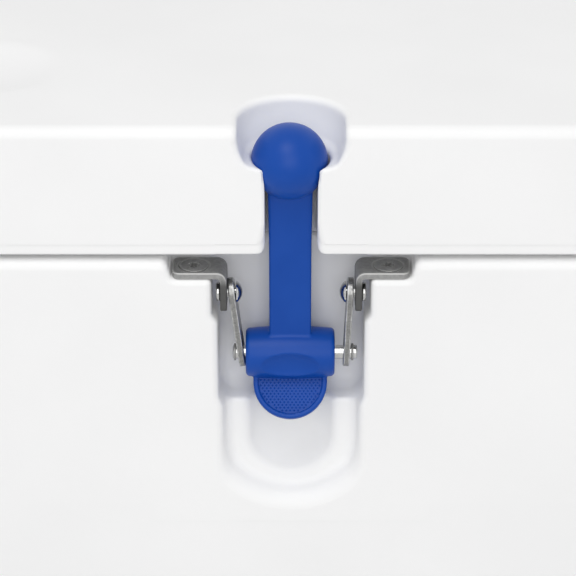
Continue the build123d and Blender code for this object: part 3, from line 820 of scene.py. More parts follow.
@dataclass
class ChestFront(Moulding):
    """The chest's front wall, with a soft-edged hollow for each latch.

    A slope stands with the factor that keeps distances to it true. A pair of heights is where a change
    starts and where it ends.
    """

    node: str = "body_front"
    name: str = "chest_front_wall"
    body: str = "chest"
    reach: Pair = (60.0, 30.0)
    heights: Pair = (217.0, BODY_TOP)
    seam: Triple = (BODY_TOP - 7.1, BODY_TOP - 4.5, 1.3)
    lean_deg: float = 1.5
    top_round: float = 4.5
    channel_half: float = 31.2
    channel_flare: float = 2.4
    channel_flare_z: Pair = (314.5, 319.5)
    channel_deep: float = 25.0
    channel_low: float = 273.6
    channel_rounds: Pair = (5.0, 7.0)
    apron_half: float = 29.8
    apron_slope: Pair = (0.2, 0.98)
    apron_arc_z: float = 263.15
    apron_arc_r: float = 34.37
    apron_arc_slope: Pair = (0.222, 0.976)
    apron_deep: float = 10.0
    apron_top: float = 290.0
    apron_rounds: Pair = (4.0, 3.5)
    scoop_r: float = 20.7
    scoop_spot: Pair = (1.0, 255.0)
    scoop_top: float = 285.0
    notch_half: float = 50.6
    notch_slope: Pair = (0.199, 0.98)
    notch_deep: float = 20.0
    notch_rounds: Pair = (3.0, 1.6)
    blends: Triple = (1.6, 2.2, 2.0)
    edge_r: float = 6.4
    edge_less: float = 3.6
    edge_z: Pair = (236.0, 262.0)

    def apron(self, x: np.ndarray, y: np.ndarray, z: np.ndarray) -> np.ndarray:
        """Measures the shallow recess below the channel, whose lower end is round.

        Args:
            x: distance from the latch's middle.
            y: depth.
            z: height.

        Returns:
            The distance.
        """
        slope, true = self.apron_slope
        side = (x - self.apron_half + slope * y) * true
        slope, true = self.apron_arc_slope
        below = np.minimum(z - self.apron_arc_z, 0.0)
        arc = (np.hypot(x, below) - self.apron_arc_r + slope * y) * true
        corner, floor = self.apron_rounds
        space = meet_round(meet_round(side, arc, corner), y - self.apron_deep, floor)
        return np.maximum(space, z - self.apron_top)

    def notch(self, x: np.ndarray, y: np.ndarray, z: np.ndarray) -> np.ndarray:
        """Measures the notch that takes the brackets' flanges.

        Args:
            x: distance from the latch's middle.
            y: depth.
            z: height.

        Returns:
            The distance.
        """
        floor = FLANGE - STEEL_T
        slope, true = self.notch_slope
        flank = (x - self.notch_half - slope * (z - floor)) * true
        back, foot = self.notch_rounds
        return meet_round(meet_round(flank, y - self.notch_deep, back), floor - z, foot)

    def hollow(self, p: np.ndarray) -> np.ndarray:
        """Measures the latch's whole hollow: channel, apron, finger scoop and notch.

        Args:
            p: points in latch coordinates.

        Returns:
            Their distances.
        """
        x, y, z = np.abs(p[:, 0]), p[:, 1], p[:, 2]
        wall = x - self.channel_half - self.channel_flare * step_smooth(z, *self.channel_flare_z)
        back, foot = self.channel_rounds
        channel = meet_round(meet_round(wall, y - self.channel_deep, back), self.channel_low - z, foot)
        deep, middle = self.scoop_spot
        scoop = np.sqrt(x ** 2 + (y - deep) ** 2 + np.minimum(z - middle, 0.0) ** 2) - self.scoop_r
        scoop = np.maximum(scoop, z - self.scoop_top)
        space = join_round(channel, self.apron(x, y, z), self.blends[0])
        space = join_round(space, scoop, self.blends[1])
        return join_round(space, self.notch(x, y, z), self.blends[2])

    def field(self, p: np.ndarray) -> np.ndarray:
        """Measures the wall around one latch, whose face slopes back below the crease.

        Args:
            p: points in latch coordinates.

        Returns:
            Their distances.
        """
        y, z = p[:, 1], p[:, 2]
        lean = math.radians(self.lean_deg)
        face = np.maximum(-y, (-y + (CREASE - z) * math.tan(lean)) * math.cos(lean))
        wall = meet_round(face, z - BODY_TOP, self.top_round)
        return cut_round(wall, self.hollow(p), self.edge_r - self.edge_less * step_smooth(z, *self.edge_z))


@dataclass
class LidShell(Moulding):
    """The lid's moulding, with a soft pocket and slot over each latch."""

    node: str = "lid_shell"
    name: str = "lid_moulding"
    body: str = "lid"
    reach: Pair = (32.0, 40.5)
    heights: Pair = (LID_LOW, LID_TOP)
    step: float = 0.9
    seam: Triple = (LID_SEAM + 0.5, LID_LOW + 1.6, 1.0)
    bowl_r: float = 22.2
    bowl_back: float = 13.2
    bowl_down: float = 4.6
    lip_down: float = 18.0
    lip_round: float = 3.0
    seat_gap: float = 0.3
    slot_half: float = 11.0
    slot_deep: float = 20.0
    slot_rounds: Pair = (2.0, 1.0)
    blends: Pair = (2.0, 1.2)
    top_round: float = 5.0
    skirt_set_back: float = 0.5
    skirt_round: float = 1.5
    skirt_up: float = 8.0
    rim_deep: float = 32.0
    rim_up: float = 3.0
    edge_r: float = 1.5
    edge_low: Triple = (2.2, 353.0, 363.0)
    edge_high: Triple = (1.3, 386.0, 396.0)

    def hollow(self, p: np.ndarray) -> np.ndarray:
        """Measures the ball's pocket and seat and the strap's slot.

        Args:
            p: points in latch coordinates.

        Returns:
            Their distances.
        """
        x, y, z = np.abs(p[:, 0]), p[:, 1], p[:, 2]
        back = np.maximum(y - self.bowl_back, 0.0)
        below = np.minimum(z - LID_TOP + self.bowl_down, 0.0)
        bowl = np.sqrt(x ** 2 + back ** 2 + below ** 2) - self.bowl_r
        pocket = meet_round(bowl, LID_TOP - self.lip_down - z, self.lip_round)
        seat = np.linalg.norm(p - BALL, axis=1) - BALL_R - self.seat_gap
        corner, end = self.slot_rounds
        slot = meet_round(meet_round(x - self.slot_half, y - self.slot_deep, corner), z - BALL[2], end)
        return join_round(join_round(pocket, seat, self.blends[0]), slot, self.blends[1])

    def field(self, p: np.ndarray) -> np.ndarray:
        """Measures the lid around one latch: its face, the skirt set back below it, and the hollow.

        Args:
            p: points in latch coordinates.

        Returns:
            Their distances.
        """
        y, z = p[:, 1], p[:, 2]
        upper = meet_round(np.maximum(-y, LID_SEAM - z), z - LID_TOP, self.top_round)
        skirt = meet_round(self.skirt_set_back - y, LID_LOW - z, self.skirt_round)
        lid = np.minimum(upper, np.maximum(skirt, z - LID_SEAM - self.skirt_up))
        groove = np.maximum(self.rim_deep - y, z - LID_LOW - self.rim_up)
        lid = np.maximum(lid, -groove)
        (low_more, *low_z), (high_more, *high_z) = self.edge_low, self.edge_high
        radius = self.edge_r + low_more * (1.0 - step_smooth(z, *low_z)) + high_more * step_smooth(z, *high_z)
        return cut_round(lid, self.hollow(p), radius)


@dataclass
class Rubber:
    """One latch's rubber moulding: ball, strap, barrel and pull tab.

    Attributes:
        paint: where its finish comes from.
        step: the field's cell size.
        low: the lower corner of a box around the moulding.
        high: that box's upper corner.
        shift: how far the moulding sits to the left of the latch's middle.
        ball_shift: the same for its ball.
        dish_turn: how far the thumb's dish is turned forward from the top of the barrel, in degrees.
        dish_out: how far the dish's centre lies from the pin.
        dish_half: half the dish's length, height and depth.
        tab_back: how far the tab's middle plane lies behind the pin.
        mesh: the moulding's vertices and quads, once they are made.
    """

    paint: Paint
    step: float = 0.55
    low: Triple = (-20.4, -8.0, 262.0)
    high: Triple = (20.0, 31.0, 404.0)
    shift: float = 0.35
    ball_shift: float = 0.7
    strap_half: float = 8.95
    strap_flare: Triple = (0.4, 345.0, 375.0)
    strap_front: float = 7.2
    strap_front_rise: float = 0.9
    strap_back: float = 15.6
    strap_round: float = 1.2
    barrel_r: float = 11.4
    barrel_bulge: float = 1.1
    barrel_half: float = 19.1
    barrel_round: float = 1.6
    bore_r: float = 3.3
    bore_round: float = 0.4
    dish_turn: float = 96.0
    dish_out: float = 11.75
    dish_half: Triple = (12.8, 7.3, 3.0)
    dish_round: float = 0.25
    blends: Triple = (1.0, 0.8, 0.6)
    lean_deg: float = 36.0
    tab_back: float = 3.5
    tab_half: float = 15.9
    tab_length: float = 28.8
    tab_t: float = 4.8
    tab_round: float = 1.1
    rim_wide: float = 2.1
    rim_round: float = 0.35
    sunk_out: float = 1.1
    knurl_top: float = 9.6
    knurl_length: float = 18.0
    knurl_out: float = 1.02
    mesh: tuple[np.ndarray, np.ndarray] | None = None

    def axes(self) -> tuple[np.ndarray, np.ndarray]:
        """Finds the tab's directions.

        Returns:
            The one down its length and the one out of its face.
        """
        lean = math.radians(self.lean_deg)
        down = np.array([0.0, -math.sin(lean), -math.cos(lean)])
        return down, np.array([0.0, down[2], -down[1]])

    def tab(self, p: np.ndarray) -> np.ndarray:
        """Measures the pull tab with its sunk field.

        Args:
            p: points in latch coordinates.

        Returns:
            Their distances.
        """
        down, out = self.axes()
        v, n = (p - PIN) @ down, (p - PIN) @ out + self.tab_back
        end = np.maximum(v - self.tab_length + self.tab_half, 0.0)
        outline = np.hypot(p[:, 0] + self.shift, end) - self.tab_half
        plate = meet_round(outline, np.abs(n) - self.tab_t / 2, self.tab_round)
        sunk = np.maximum(outline + self.rim_wide, self.sunk_out - n)
        return cut_round(np.maximum(plate, -v), sunk, self.rim_round)

    def barrel(self, p: np.ndarray, x: np.ndarray, around: np.ndarray) -> np.ndarray:
        """Measures the barrel, which bulges in the middle, with the thumb's dish cut into it.

        Args:
            p: points in latch coordinates.
            x: their distances from the moulding's middle.
            around: their distances from the pin's axis.

        Returns:
            Their distances.
        """
        bulge = around - self.barrel_r + self.barrel_bulge * (x / self.barrel_half) ** 2
        barrel = meet_round(bulge, x - self.barrel_half, self.barrel_round)
        turn = math.radians(self.dish_turn)
        thumb = np.array([0.0, -math.sin(turn), math.cos(turn)])
        rise = np.array([0.0, thumb[2], -thumb[1]])
        q = p - PIN
        wide, high, deep = self.dish_half
        dish = np.stack([x / wide, (q @ rise) / high, (q @ thumb - self.dish_out) / deep], axis=1)
        far = np.linalg.norm(dish, axis=1)
        pull = np.linalg.norm(dish / self.dish_half, axis=1)
        return cut_round(barrel, far * (far - 1.0) / np.maximum(pull, 0.02), self.dish_round)

    def field(self, p: np.ndarray) -> np.ndarray:
        """Measures the whole moulding.

        Args:
            p: points in latch coordinates.

        Returns:
            Their distances.
        """
        x, y, z = np.abs(p[:, 0] + self.shift), p[:, 1], p[:, 2]
        ball = np.linalg.norm(p - BALL + (self.ball_shift, 0.0, 0.0), axis=1) - BALL_R
        up = np.clip((z - PIN[2]) / (BALL[2] - PIN[2]), 0.0, 1.0)
        front = self.strap_front + self.strap_front_rise * up
        more, *flare_z = self.strap_flare
        half = self.strap_half + more * step_smooth(z, *flare_z)
        strap = meet_round(x - half, np.maximum(front - y, y - self.strap_back), self.strap_round)
        strap = np.maximum(strap, np.maximum(PIN[2] - z, z - BALL[2]))
        around = np.hypot(y - PIN[1], z - PIN[2])
        body = join_round(ball, strap, self.blends[0])
        body = join_round(body, self.barrel(p, x, around), self.blends[1])
        body = join_round(body, self.tab(p), self.blends[2])
        return cut_round(body, around - self.bore_r, self.bore_round)

    def build(self, side: str) -> None:
        """Makes the moulding of one latch, whose mesh is worked out once.

        Args:
            side: the latch.
        """
        if self.mesh is None:
            self.mesh = Block(self.field, self.low, self.high, self.step).mesh()
        vertices, quads = self.mesh
        thing = mesh_object(f"rubber_latch_{side}", place(vertices, MIDDLES[side]), quads, 55.0)
        self.paint.attach(thing, f"strap_{side}", Look.RUBBER, f"latch_strap_{side}")

    def knurl(self, side: str) -> None:
        """Lays fine diamonds in staggered rows on the tab's sunk field.

        Args:
            side: the latch.
        """
        middle = self.knurl_top + self.knurl_length / 2
        tree = Tree("TabKnurl", {
            "Width": 27.0, "Length": self.knurl_length, "Pitch": 1.6, "Row": 1.15, "Edge": 13.0,
            "Centre": self.tab_length - self.tab_half - middle, "Size": 0.62, "Rise": 0.45,
        })
        grid = tree.add("GeometryNodeMeshGrid", {
            "Size X": "Width", "Size Y": "Length",
            "Vertices X": tree.math("ADD", tree.math("DIVIDE", "Width", "Pitch"), 1.0),
            "Vertices Y": tree.math("ADD", tree.math("DIVIDE", "Length", "Row"), 1.0),
        })
        here = tree.add("GeometryNodeInputPosition").outputs["Position"]
        spot = tree.add("ShaderNodeSeparateXYZ", {0: here})
        line = tree.math("ROUND", tree.math("DIVIDE", tree.math("ADD", spot.outputs["Y"], 50.0), "Row"))
        shift = tree.math("MULTIPLY", tree.math("MODULO", line, 2.0), tree.math("MULTIPLY", "Pitch", 0.5))
        offset = tree.add("ShaderNodeCombineXYZ", {"X": shift})
        sources = {"Geometry": grid.outputs["Mesh"], "Offset": offset.outputs[0]}
        move = tree.add("GeometryNodeSetPosition", sources)
        below = tree.math("MINIMUM", tree.math("ADD", spot.outputs["Y"], "Centre"), 0.0)
        squares = (tree.math("POWER", spot.outputs["X"], 2.0),
                   tree.math("POWER", tree.math("ABSOLUTE", below), 2.0))
        away = tree.math("SQRT", tree.math("ADD", *squares))
        outside = tree.math("GREATER_THAN", away, "Edge")
        sources = {"Geometry": move.outputs["Geometry"], "Selection": outside}
        trim = tree.add("GeometryNodeDeleteGeometry", sources)
        sizes = {"Vertices": 4, "Radius Top": 0.12, "Radius Bottom": "Size", "Depth": "Rise"}
        stud = tree.add("GeometryNodeMeshCone", sizes)
        tree.sow(trim.outputs["Geometry"], stud.outputs["Mesh"], self.paint.get(Look.RUBBER))
        down, out = self.axes()
        floor = PIN + down * middle + out * (self.knurl_out - self.tab_back)
        floor = floor - np.array([self.shift, 0.0, 0.0])
        turn = Matrix((Vector((1, 0, 0)), Vector(-down), Vector(out))).transposed()
        thing = tree.make(f"tab_knurl_{side}", Vector(place(floor, MIDDLES[side])), turn)
        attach(thing, f"strap_{side}")


@dataclass
class Hardware:
    """One latch's steel: brackets, screws, links, rivets, pin and rings.

    Attributes:
        paint: where its finishes come from.
        leg: how far the bracket's leg stands from the latch's middle.
        flange: how far its flange reaches.
        strip_y: the depth of the middle of both.
        bend: the outer and inner radius of its bend.
        screw: the screw's place on the flange.
        lobe: the mean radius of the screw's recess, and how far its six lobes swing from that.
        link_low: the link's lower end, before the pin's shift.
        link_left: the share of that shift which the left link takes, in its own turned coordinates.
        made: each kind of piece's vertices, quads and marks, once they are made.
    """

    paint: Paint
    leg: float = 27.1
    flange: float = 50.0
    leg_low: float = BODY_TOP - 25.5
    strip_y: float = 9.0
    strip_half: float = 8.0
    bend: Pair = (4.25, 1.35)
    strip_rounds: Triple = (3.0, 1.5, 0.55)
    screw: Pair = (41.0, 9.0)
    seat_r: float = 6.6
    head_r: float = 6.3
    head_down: float = 0.45
    shank_r: float = 2.6
    shank_length: float = 22.0
    lobe: Pair = (2.15, 0.5)
    head_deep: float = 3.6
    crown: float = 0.010
    recess_deep: float = 2.0
    recess_cone: float = 0.2
    lobe_true: float = 0.8
    link_low: float = 22.35
    link_left: float = -0.65
    link_half: float = 6.15
    link_t: float = 2.7
    dome_r: float = 5.8
    dome_x: float = 26.4
    dome_rim: float = 4.85
    dome_foot: float = 23.25
    rivet_r: float = 2.5
    rivet_x: Pair = (22.6, 31.8)
    tail_r: float = 4.0
    tail_x: float = 30.95
    tail_t: float = 1.7
    pin_x: float = 0.2
    pin_half: float = 26.8
    ring_x: Pair = (24.9, -25.65)
    ring_r: Pair = (2.95, 3.7)
    ring_t: float = 1.0
    ring_gap: float = 2.6
    made: dict[str, tuple] = field(default_factory=dict)

    def bracket(self, p: np.ndarray) -> np.ndarray:
        """Measures the L-shaped bracket on the right.

        Args:
            p: points in latch coordinates.

        Returns:
            Their distances.
        """
        u, y, z = p[:, 0], p[:, 1], p[:, 2]
        outer = meet_round(self.leg - u, z - FLANGE, self.bend[0])
        inner = meet_round(self.leg + STEEL_T - u, z - FLANGE + STEEL_T, self.bend[1])
        across = np.abs(y - self.strip_y) - self.strip_half
        end, foot, edge = self.strip_rounds
        ends = meet_round(self.leg_low - z, across, foot)
        ends = np.maximum(meet_round(u - self.flange, across, end), ends)
        body = meet_round(np.maximum(outer, -inner), ends, edge)
        far = np.hypot(u - self.screw[0], y - self.screw[1])
        body = cut_round(body, (far - self.seat_r - CONE * (z - FLANGE)) * CONE_TRUE, 0.3)
        return cut_round(body, np.hypot(y - RIVET[1], z - RIVET[2]) - self.shank_r, 0.2)

    def head(self, p: np.ndarray) -> np.ndarray:
        """Measures the countersunk screw on the right, with its six-lobed recess.

        Args:
            p: points in latch coordinates.

        Returns:
            Their distances.
        """
        u, v, z = p[:, 0] - self.screw[0], p[:, 1] - self.screw[1], p[:, 2] - FLANGE
        radius = np.hypot(u, v)
        top = z - self.head_down + self.crown * radius ** 2
        cone = np.maximum((radius - self.head_r - CONE * z) * CONE_TRUE, -self.head_deep - z)
        head = meet_round(np.maximum(cone, radius - self.head_r), top, 0.35)
        shank = np.maximum(radius - self.shank_r, np.maximum(z + 2.0, -STEEL_T - self.shank_length - z))
        mean, swing = self.lobe
        star = (radius - mean - swing * np.cos(6.0 * np.arctan2(v, u))) * self.lobe_true
        recess = np.maximum(star, -self.recess_deep - z + self.recess_cone * radius)
        return np.minimum(cut_round(head, recess, 0.15), shank)

    def link(self, way: int) -> Field:
        """Makes the field of the link on one side, in coordinates turned so that side is to the right.

        Args:
            way: 1 for the right, -1 for the left.

        Returns:
            The field.
        """
        shift = PIN_SHIFT if way > 0 else self.link_left * PIN_SHIFT
        top, low = RIVET.copy(), np.array([self.link_low + shift, PIN[1], PIN[2]])
        along = (low - top) * (1.0, 0.0, 1.0)
        length, deeper = np.linalg.norm(along), low[1] - top[1]
        flat = along / length
        normal = np.array([-flat[2], 0.0, flat[0]])

        def shape(p: np.ndarray) -> np.ndarray:
            """Measures the link's strip, which is round at both ends.

            Args:
                p: points in latch coordinates.

            Returns:
                Their distances.
            """
            q = p - top
            a, b, n = q @ flat, q[:, 1], q @ normal
            t = np.clip((a * length + b * deeper) / (length ** 2 + deeper ** 2), 0.0, 1.0)
            outline = np.hypot(a - t * length, b - t * deeper) - self.link_half
            return meet_round(outline, np.abs(n) - self.link_t / 2, 0.4)

        return shape

    def rivet(self, p: np.ndarray) -> np.ndarray:
        """Measures the domed rivet on the right: dome, shank and tail.

        Args:
            p: points in latch coordinates.

        Returns:
            Their distances.
        """
        u = p[:, 0]
        radius = np.hypot(p[:, 1] - RIVET[1], p[:, 2] - RIVET[2])
        dome = np.sqrt(radius ** 2 + (u - self.dome_x) ** 2) - self.dome_r
        dome = meet_round(meet_round(dome, radius - self.dome_rim, 0.4), u - self.dome_foot, 0.2)
        start, end = self.rivet_x
        shank = np.maximum(radius - self.rivet_r, np.maximum(start - u, u - end))
        tail = meet_round(radius - self.tail_r, np.abs(u - self.tail_x) - self.tail_t / 2, 0.4)
        return np.minimum(np.minimum(dome, shank), tail)

    def pin(self, p: np.ndarray) -> np.ndarray:
        """Measures the pin."""
        radius = np.hypot(p[:, 1] - PIN[1], p[:, 2] - PIN[2])
        return meet_round(radius - PIN_R, np.abs(p[:, 0] - PIN_SHIFT - self.pin_x) - self.pin_half, 0.5)

    def rings(self, p: np.ndarray) -> np.ndarray:
        """Measures both split retaining rings.

        Args:
            p: points in latch coordinates.

        Returns:
            Their distances.
        """
        around = p[:, 1:] - PIN[1:]
        radius = np.hypot(around[:, 0], around[:, 1])
        x = p[:, 0] - PIN_SHIFT
        near = np.minimum(*(np.abs(x - spot) for spot in self.ring_x)) - self.ring_t / 2
        inner, outer = self.ring_r
        ring = meet_round(meet_round(radius - outer, near, 0.25), inner - radius, 0.2)
        split = np.maximum(np.abs(around[:, 1]) - self.ring_gap / 2, -around[:, 0])
        return np.maximum(ring, -split)

    def shape_all(self) -> None:
        """Meshes each kind of piece once, in a box around it, and marks its edges.

        The bracket's marks run from painted shade on its leg to its flange's edges, which are lightened
        partly as polish and partly as a painted highlight.
        """
        pin, rivet = PIN[2], RIVET[2]
        links = (18.0, 1.0, pin - 7.5), (28.0, 19.5, rivet + 7.0), 0.4, 0.4
        for name, shape, (low, high, step, radius) in (
            ("bracket", self.bracket,
             ((26.6, 0.5, self.leg_low - 0.5), (50.5, 17.5, FLANGE + 0.5), 0.4, 0.55)),
            ("screw", self.head,
             ((34.2, 2.2, FLANGE - STEEL_T - 22.4), (47.8, 15.8, FLANGE + 1.0), 0.34, 0.3)),
            ("link1", self.link(1), links),
            ("link-1", self.link(-1), links),
            ("rivet", self.rivet, ((20.0, 3.6, rivet - 5.4), (32.3, 14.4, rivet + 5.4), 0.34, 0.4)),
            ("pin", self.pin, ((-25.7, 8.4, pin - 3.6), (29.1, 15.6, pin + 3.6), 0.36, 0.5)),
            ("rings", self.rings, ((-25.4, 7.6, pin - 4.4), (27.6, 16.4, pin + 4.4), 0.34, 0.3)),
        ):
            vertices, quads = Block(shape, low, high, step).mesh()
            mark = edge_mark(shape, vertices, radius)
            if name == "bracket":
                # Painted shade: the bracket's leg, below the flange, takes the darkest mark.
                mark = (1.0 + mark) * step_smooth(vertices[:, 2], FLANGE - 7.0, FLANGE - 1.5) - 1.0
            self.made[name] = (vertices, quads, mark)

    def part(self, name: str, side: str, ways: Sequence[int], label: str) -> bpy.types.Object:
        """Makes an object of kept arrays, mirrored to each way asked for.

        Args:
            name: what the arrays are kept under.
            side: the latch.
            ways: 1 for the right, -1 for the left.
            label: the object's name.

        Returns:
            The object.
        """
        vertices, quads, mark = self.made[name]
        spots, faces = [], []
        for count, way in enumerate(ways):
            spots.append(vertices * (way, 1, 1))
            faces.append((quads if way > 0 else quads[:, ::-1]) + count * len(vertices))
        points = place(np.concatenate(spots), MIDDLES[side])
        return mesh_object(label, points, np.concatenate(faces), 50.0, np.tile(mark, len(ways)))

    def dress(self, side: str) -> None:
        """Builds one latch's steel and lets it ride on its bodies.

        Args:
            side: the latch.
        """
        if not self.made:
            self.shape_all()
        toggle, outer = f"toggle_{side}", 1 if side == "right" else -1
        rows = []
        for half, way in (("outer", outer), ("inner", -outer)):
            for name, kind, body, look in (("bracket", "bracket", "chest", Look.STEEL),
                                           ("link", f"link{way}", toggle, Look.LINK_STEEL)):
                label = f"{name}_{side}_{half}"
                rows.append((kind, (way,), label, body, look, f"latch_{label}"))
        rows += [
            ("screw", (1, -1), f"screws_{side}", "chest", Look.STEEL, f"bracket_screws_{side}"),
            ("rivet", (1, -1), f"rivets_{side}", toggle, Look.BRIGHT_STEEL, f"latch_rivets_{side}"),
            ("pin", (1,), f"pin_{side}", toggle, Look.BRIGHT_STEEL, f"latch_pin_{side}"),
            ("rings", (1,), f"rings_{side}", toggle, Look.STEEL, f"pin_rings_{side}"),
        ]
        for kind, ways, label, body, look, node in rows:
            self.paint.attach(self.part(kind, side, ways, label), body, look, node)


# ---------------------------------------------------------------- ends, feet and seals
def soften(profile: Sequence[Pair], radius: float, closed: bool = True) -> list[Pair]:
    """Rounds the corners of a profile.

    Args:
        profile: its corners.
        radius: how far from each corner the rounding starts.
        closed: whether the last corner joins the first.

    Returns:
        The profile with each corner replaced by a short curve.
    """
    corners = [np.array(corner, float) for corner in profile]
    rows = []
    for n, corner in enumerate(corners):
        if not closed and n in (0, len(corners) - 1):
            rows.append(tuple(corner))
            continue
        ends = []
        for other in (corners[n - 1], corners[(n + 1) % len(corners)]):
            length = np.linalg.norm(other - corner)
            ends.append(corner + (other - corner) * min(radius, 0.45 * length) / length)
        for t in (0.0, 0.33, 0.67, 1.0):
            rows.append(tuple((1 - t) ** 2 * ends[0] + 2 * t * (1 - t) * corner + t * t * ends[1]))
    return rows


def ring_faces(rings: int, around: int, loop: bool) -> list[tuple[int, int, int, int]]:
    """Joins rings of vertices that follow each other.

    Args:
        rings: how many rings there are.
        around: how many vertices each one has.
        loop: whether the last ring joins the first.

    Returns:
        The faces.
    """
    faces = []
    for m in range(rings if loop else rings - 1):
        low, high = m * around, (m + 1) % rings * around
        faces += [(low + n, low + (n + 1) % around, high + (n + 1) % around, high + n) for n in range(around)]
    return faces


def turned(
    name: str, spot: Sequence[float], axis: Sequence[float], rows: Sequence[Pair], count: int = 72,
) -> bpy.types.Object:
    """Turns a profile about an axis.

    Args:
        name: the object's name.
        spot: the axis's start, in millimetres.
        axis: its direction.
        rows: how far along the axis and how far from it each row lies; a profile that starts off the axis
            is closed into a ring.
        count: faces around.

    Returns:
        The closed mesh object.
    """
    along = Vector(axis).normalized()
    side = along.orthogonal().normalized()
    across = along.cross(side)
    points = []
    for far, radius in rows:
        for n in range(count):
            turn = 2 * math.pi * n / count
            point = Vector(spot) + along * far + (side * math.cos(turn) + across * math.sin(turn)) * radius
            points.append(tuple(point * MM))
    faces = ring_faces(len(rows), count, rows[0][1] > 0)
    return mend(mesh_object(name, np.array(points), faces, 50.0), 1e-7)


@dataclass
class Handle:
    """One end handle: a ribbed rubber grip and domed screws over the swinging bail.

    Attributes:
        paint: where its finishes come from.
        side: the chest's end.
        ribs: how many ribs the grip has.
        rib_gap: how far the first and last rib lie from the grip's ends.
        collar: the length of the thick end of the sleeve, and where its slope ends.
        screw_r: the radius of the screws' heads.
        screw_pitch: how far apart the two screws on one side of a bracket are.
    """

    paint: Paint
    side: str
    ribs: int = 25
    rib_r: float = 1.0
    rib_gap: float = 9.0
    bore_r: float = 5.0
    collar: Pair = (4.5, 6.0)
    sleeve_round: float = 1.4
    screw_r: float = 4.6
    screw_pitch: float = 26.0
    screw_round: float = 0.5

    def grip(self) -> None:
        """Makes the grip's sleeve and lays its ribs."""
        node, body = f"handle_grip_{self.side}", f"handle_{self.side}"
        low, high = box_mm(node)
        middle, half, radius = (low + high) / 2, (high[1] - low[1]) / 2, (high[2] - low[2]) / 2
        waist = radius - self.rib_r
        (thick, thin), long = self.collar, 2 * half
        rows = [(0, self.bore_r), (0, radius), (thick, radius), (thin, waist), (long - thin, waist),
                (long - thick, radius), (long, radius), (long, self.bore_r)]
        sleeve = turned(f"grip_sleeve_{self.side}", middle - (0, half, 0), (0, 1, 0),
                        soften(rows, self.sleeve_round))
        self.paint.attach(sleeve, body, Look.BLACK_RUBBER, node)
        tree = Tree("GripRibs", {
            "Length": long - 2 * self.rib_gap, "Count": float(self.ribs), "Radius": waist,
            "Thickness": self.rib_r,
        })
        reach = tree.add("ShaderNodeCombineXYZ", {"Z": "Length"})
        sources = {"Count": "Count", "Offset": reach.outputs[0]}
        line = tree.add("GeometryNodeMeshLine", sources, mode="END_POINTS")
        hoop = tree.add("GeometryNodeCurvePrimitiveCircle", {"Resolution": 40, "Radius": "Radius"})
        bead = tree.add("GeometryNodeCurvePrimitiveCircle", {"Resolution": 8, "Radius": "Thickness"})
        sources = {"Curve": hoop.outputs["Curve"], "Profile Curve": bead.outputs["Curve"]}
        rib = tree.add("GeometryNodeCurveToMesh", sources)
        tree.sow(line.outputs["Mesh"], rib.outputs["Mesh"], self.paint.get(Look.BLACK_RUBBER))
        spot = Vector(middle - (0, half - self.rib_gap, 0)) * MM
        thing = tree.make(f"grip_ribs_{self.side}", spot, Matrix(((0, 1, 0), (0, 0, 1), (1, 0, 0))))
        thing.data.shade_smooth()
        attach(thing, body)

    def screws(self) -> None:
        """Makes the brackets' screws, with domed heads and a round drive recess."""
        node, edge, pitch = f"handle_screws_{self.side}", self.screw_r, self.screw_pitch
        low, high = box_mm(node)
        way = 1 if self.side == "right" else -1
        outer, tip = (high[0], low[0]) if way > 0 else (low[0], high[0])
        top = abs(outer - tip)
        rows = soften([(0, 0), (0, 2.4), (top - 2.4, 2.4), (top - 2.4, edge), (top - 0.9, 4.3),
                       (top, 2.6), (top, 1.9), (top - 1.4, 1.6), (top - 1.4, 0)], self.screw_round, False)
        lines = (low[1] + edge, low[1] + edge + pitch, high[1] - edge - pitch, high[1] - edge)
        spots = [(tip, y, z) for y in lines for z in (low[2] + edge, high[2] - edge)]
        heads = [
            turned(f"screw_{self.side}_{n}", spot, (way, 0, 0), rows, 18) for n, spot in enumerate(spots)
        ]
        self.paint.attach(merge(heads, f"handle_screw_set_{self.side}"), "chest", Look.STEEL, node)


@dataclass
class Feet:
    """The four rubber feet, with round grooves that grip the floor.

    Attributes:
        paint: where their finish comes from.
        well: the depth and radius of the well for the screw's head.
        grooves: each groove's outer radius.
        groove: the grooves' width and depth.
        flank: how wide each sloped side of a groove is.
    """

    paint: Paint
    height: float = 12.0
    radius: float = 28.0
    hole_r: float = 2.2
    well: Pair = (6.0, 6.0)
    grooves: Pair = (23.0, 14.0)
    groove: Pair = (5.0, 1.6)
    flank: float = 1.0
    soft: float = 0.9

    def build(self) -> None:
        """Turns the four feet."""
        wide, deep = self.groove
        rows = [(self.height, self.hole_r), (self.height, self.radius), (0, self.radius)]
        for outer in self.grooves:
            inner = outer - wide
            rows += [(0, outer), (deep, outer - self.flank), (deep, inner + self.flank), (0, inner)]
        rows += [(0, self.well[1]), self.well, (self.well[0], self.hole_r)]
        for corner in ("front_left", "front_right", "rear_left", "rear_right"):
            low, high = box_mm(f"foot_{corner}")
            spot = ((low[0] + high[0]) / 2, (low[1] + high[1]) / 2, low[2])
            foot = turned(f"rubber_foot_{corner}", spot, (0, 0, 1), soften(rows, self.soft))
            self.paint.attach(foot, "chest", Look.BLACK_RUBBER, f"foot_{corner}")


@dataclass
class Drain:
    """The drain's soft rings: the flange's gasket and the plug's washer.

    Attributes:
        paint: where their finish comes from.
        bores: each ring's node, body and inner radius.
    """

    paint: Paint
    bores: tuple = (("drain_gasket", "chest", 14.0), ("plug_washer", "plug_carrier", 8.8))
    soft: float = 0.7

    def build(self) -> None:
        """Turns both rings."""
        for node, body, inner in self.bores:
            low, high = box_mm(node)
            deep, radius = high[0] - low[0], (high[1] - low[1]) / 2
            rows = soften([(0, inner), (0, radius), (deep, radius), (deep, inner)], self.soft)
            spot = (low[0], (low[1] + high[1]) / 2, (low[2] + high[2]) / 2)
            self.paint.attach(turned(f"soft_{node}", spot, (1, 0, 0), rows), body, Look.BLACK_RUBBER, node)


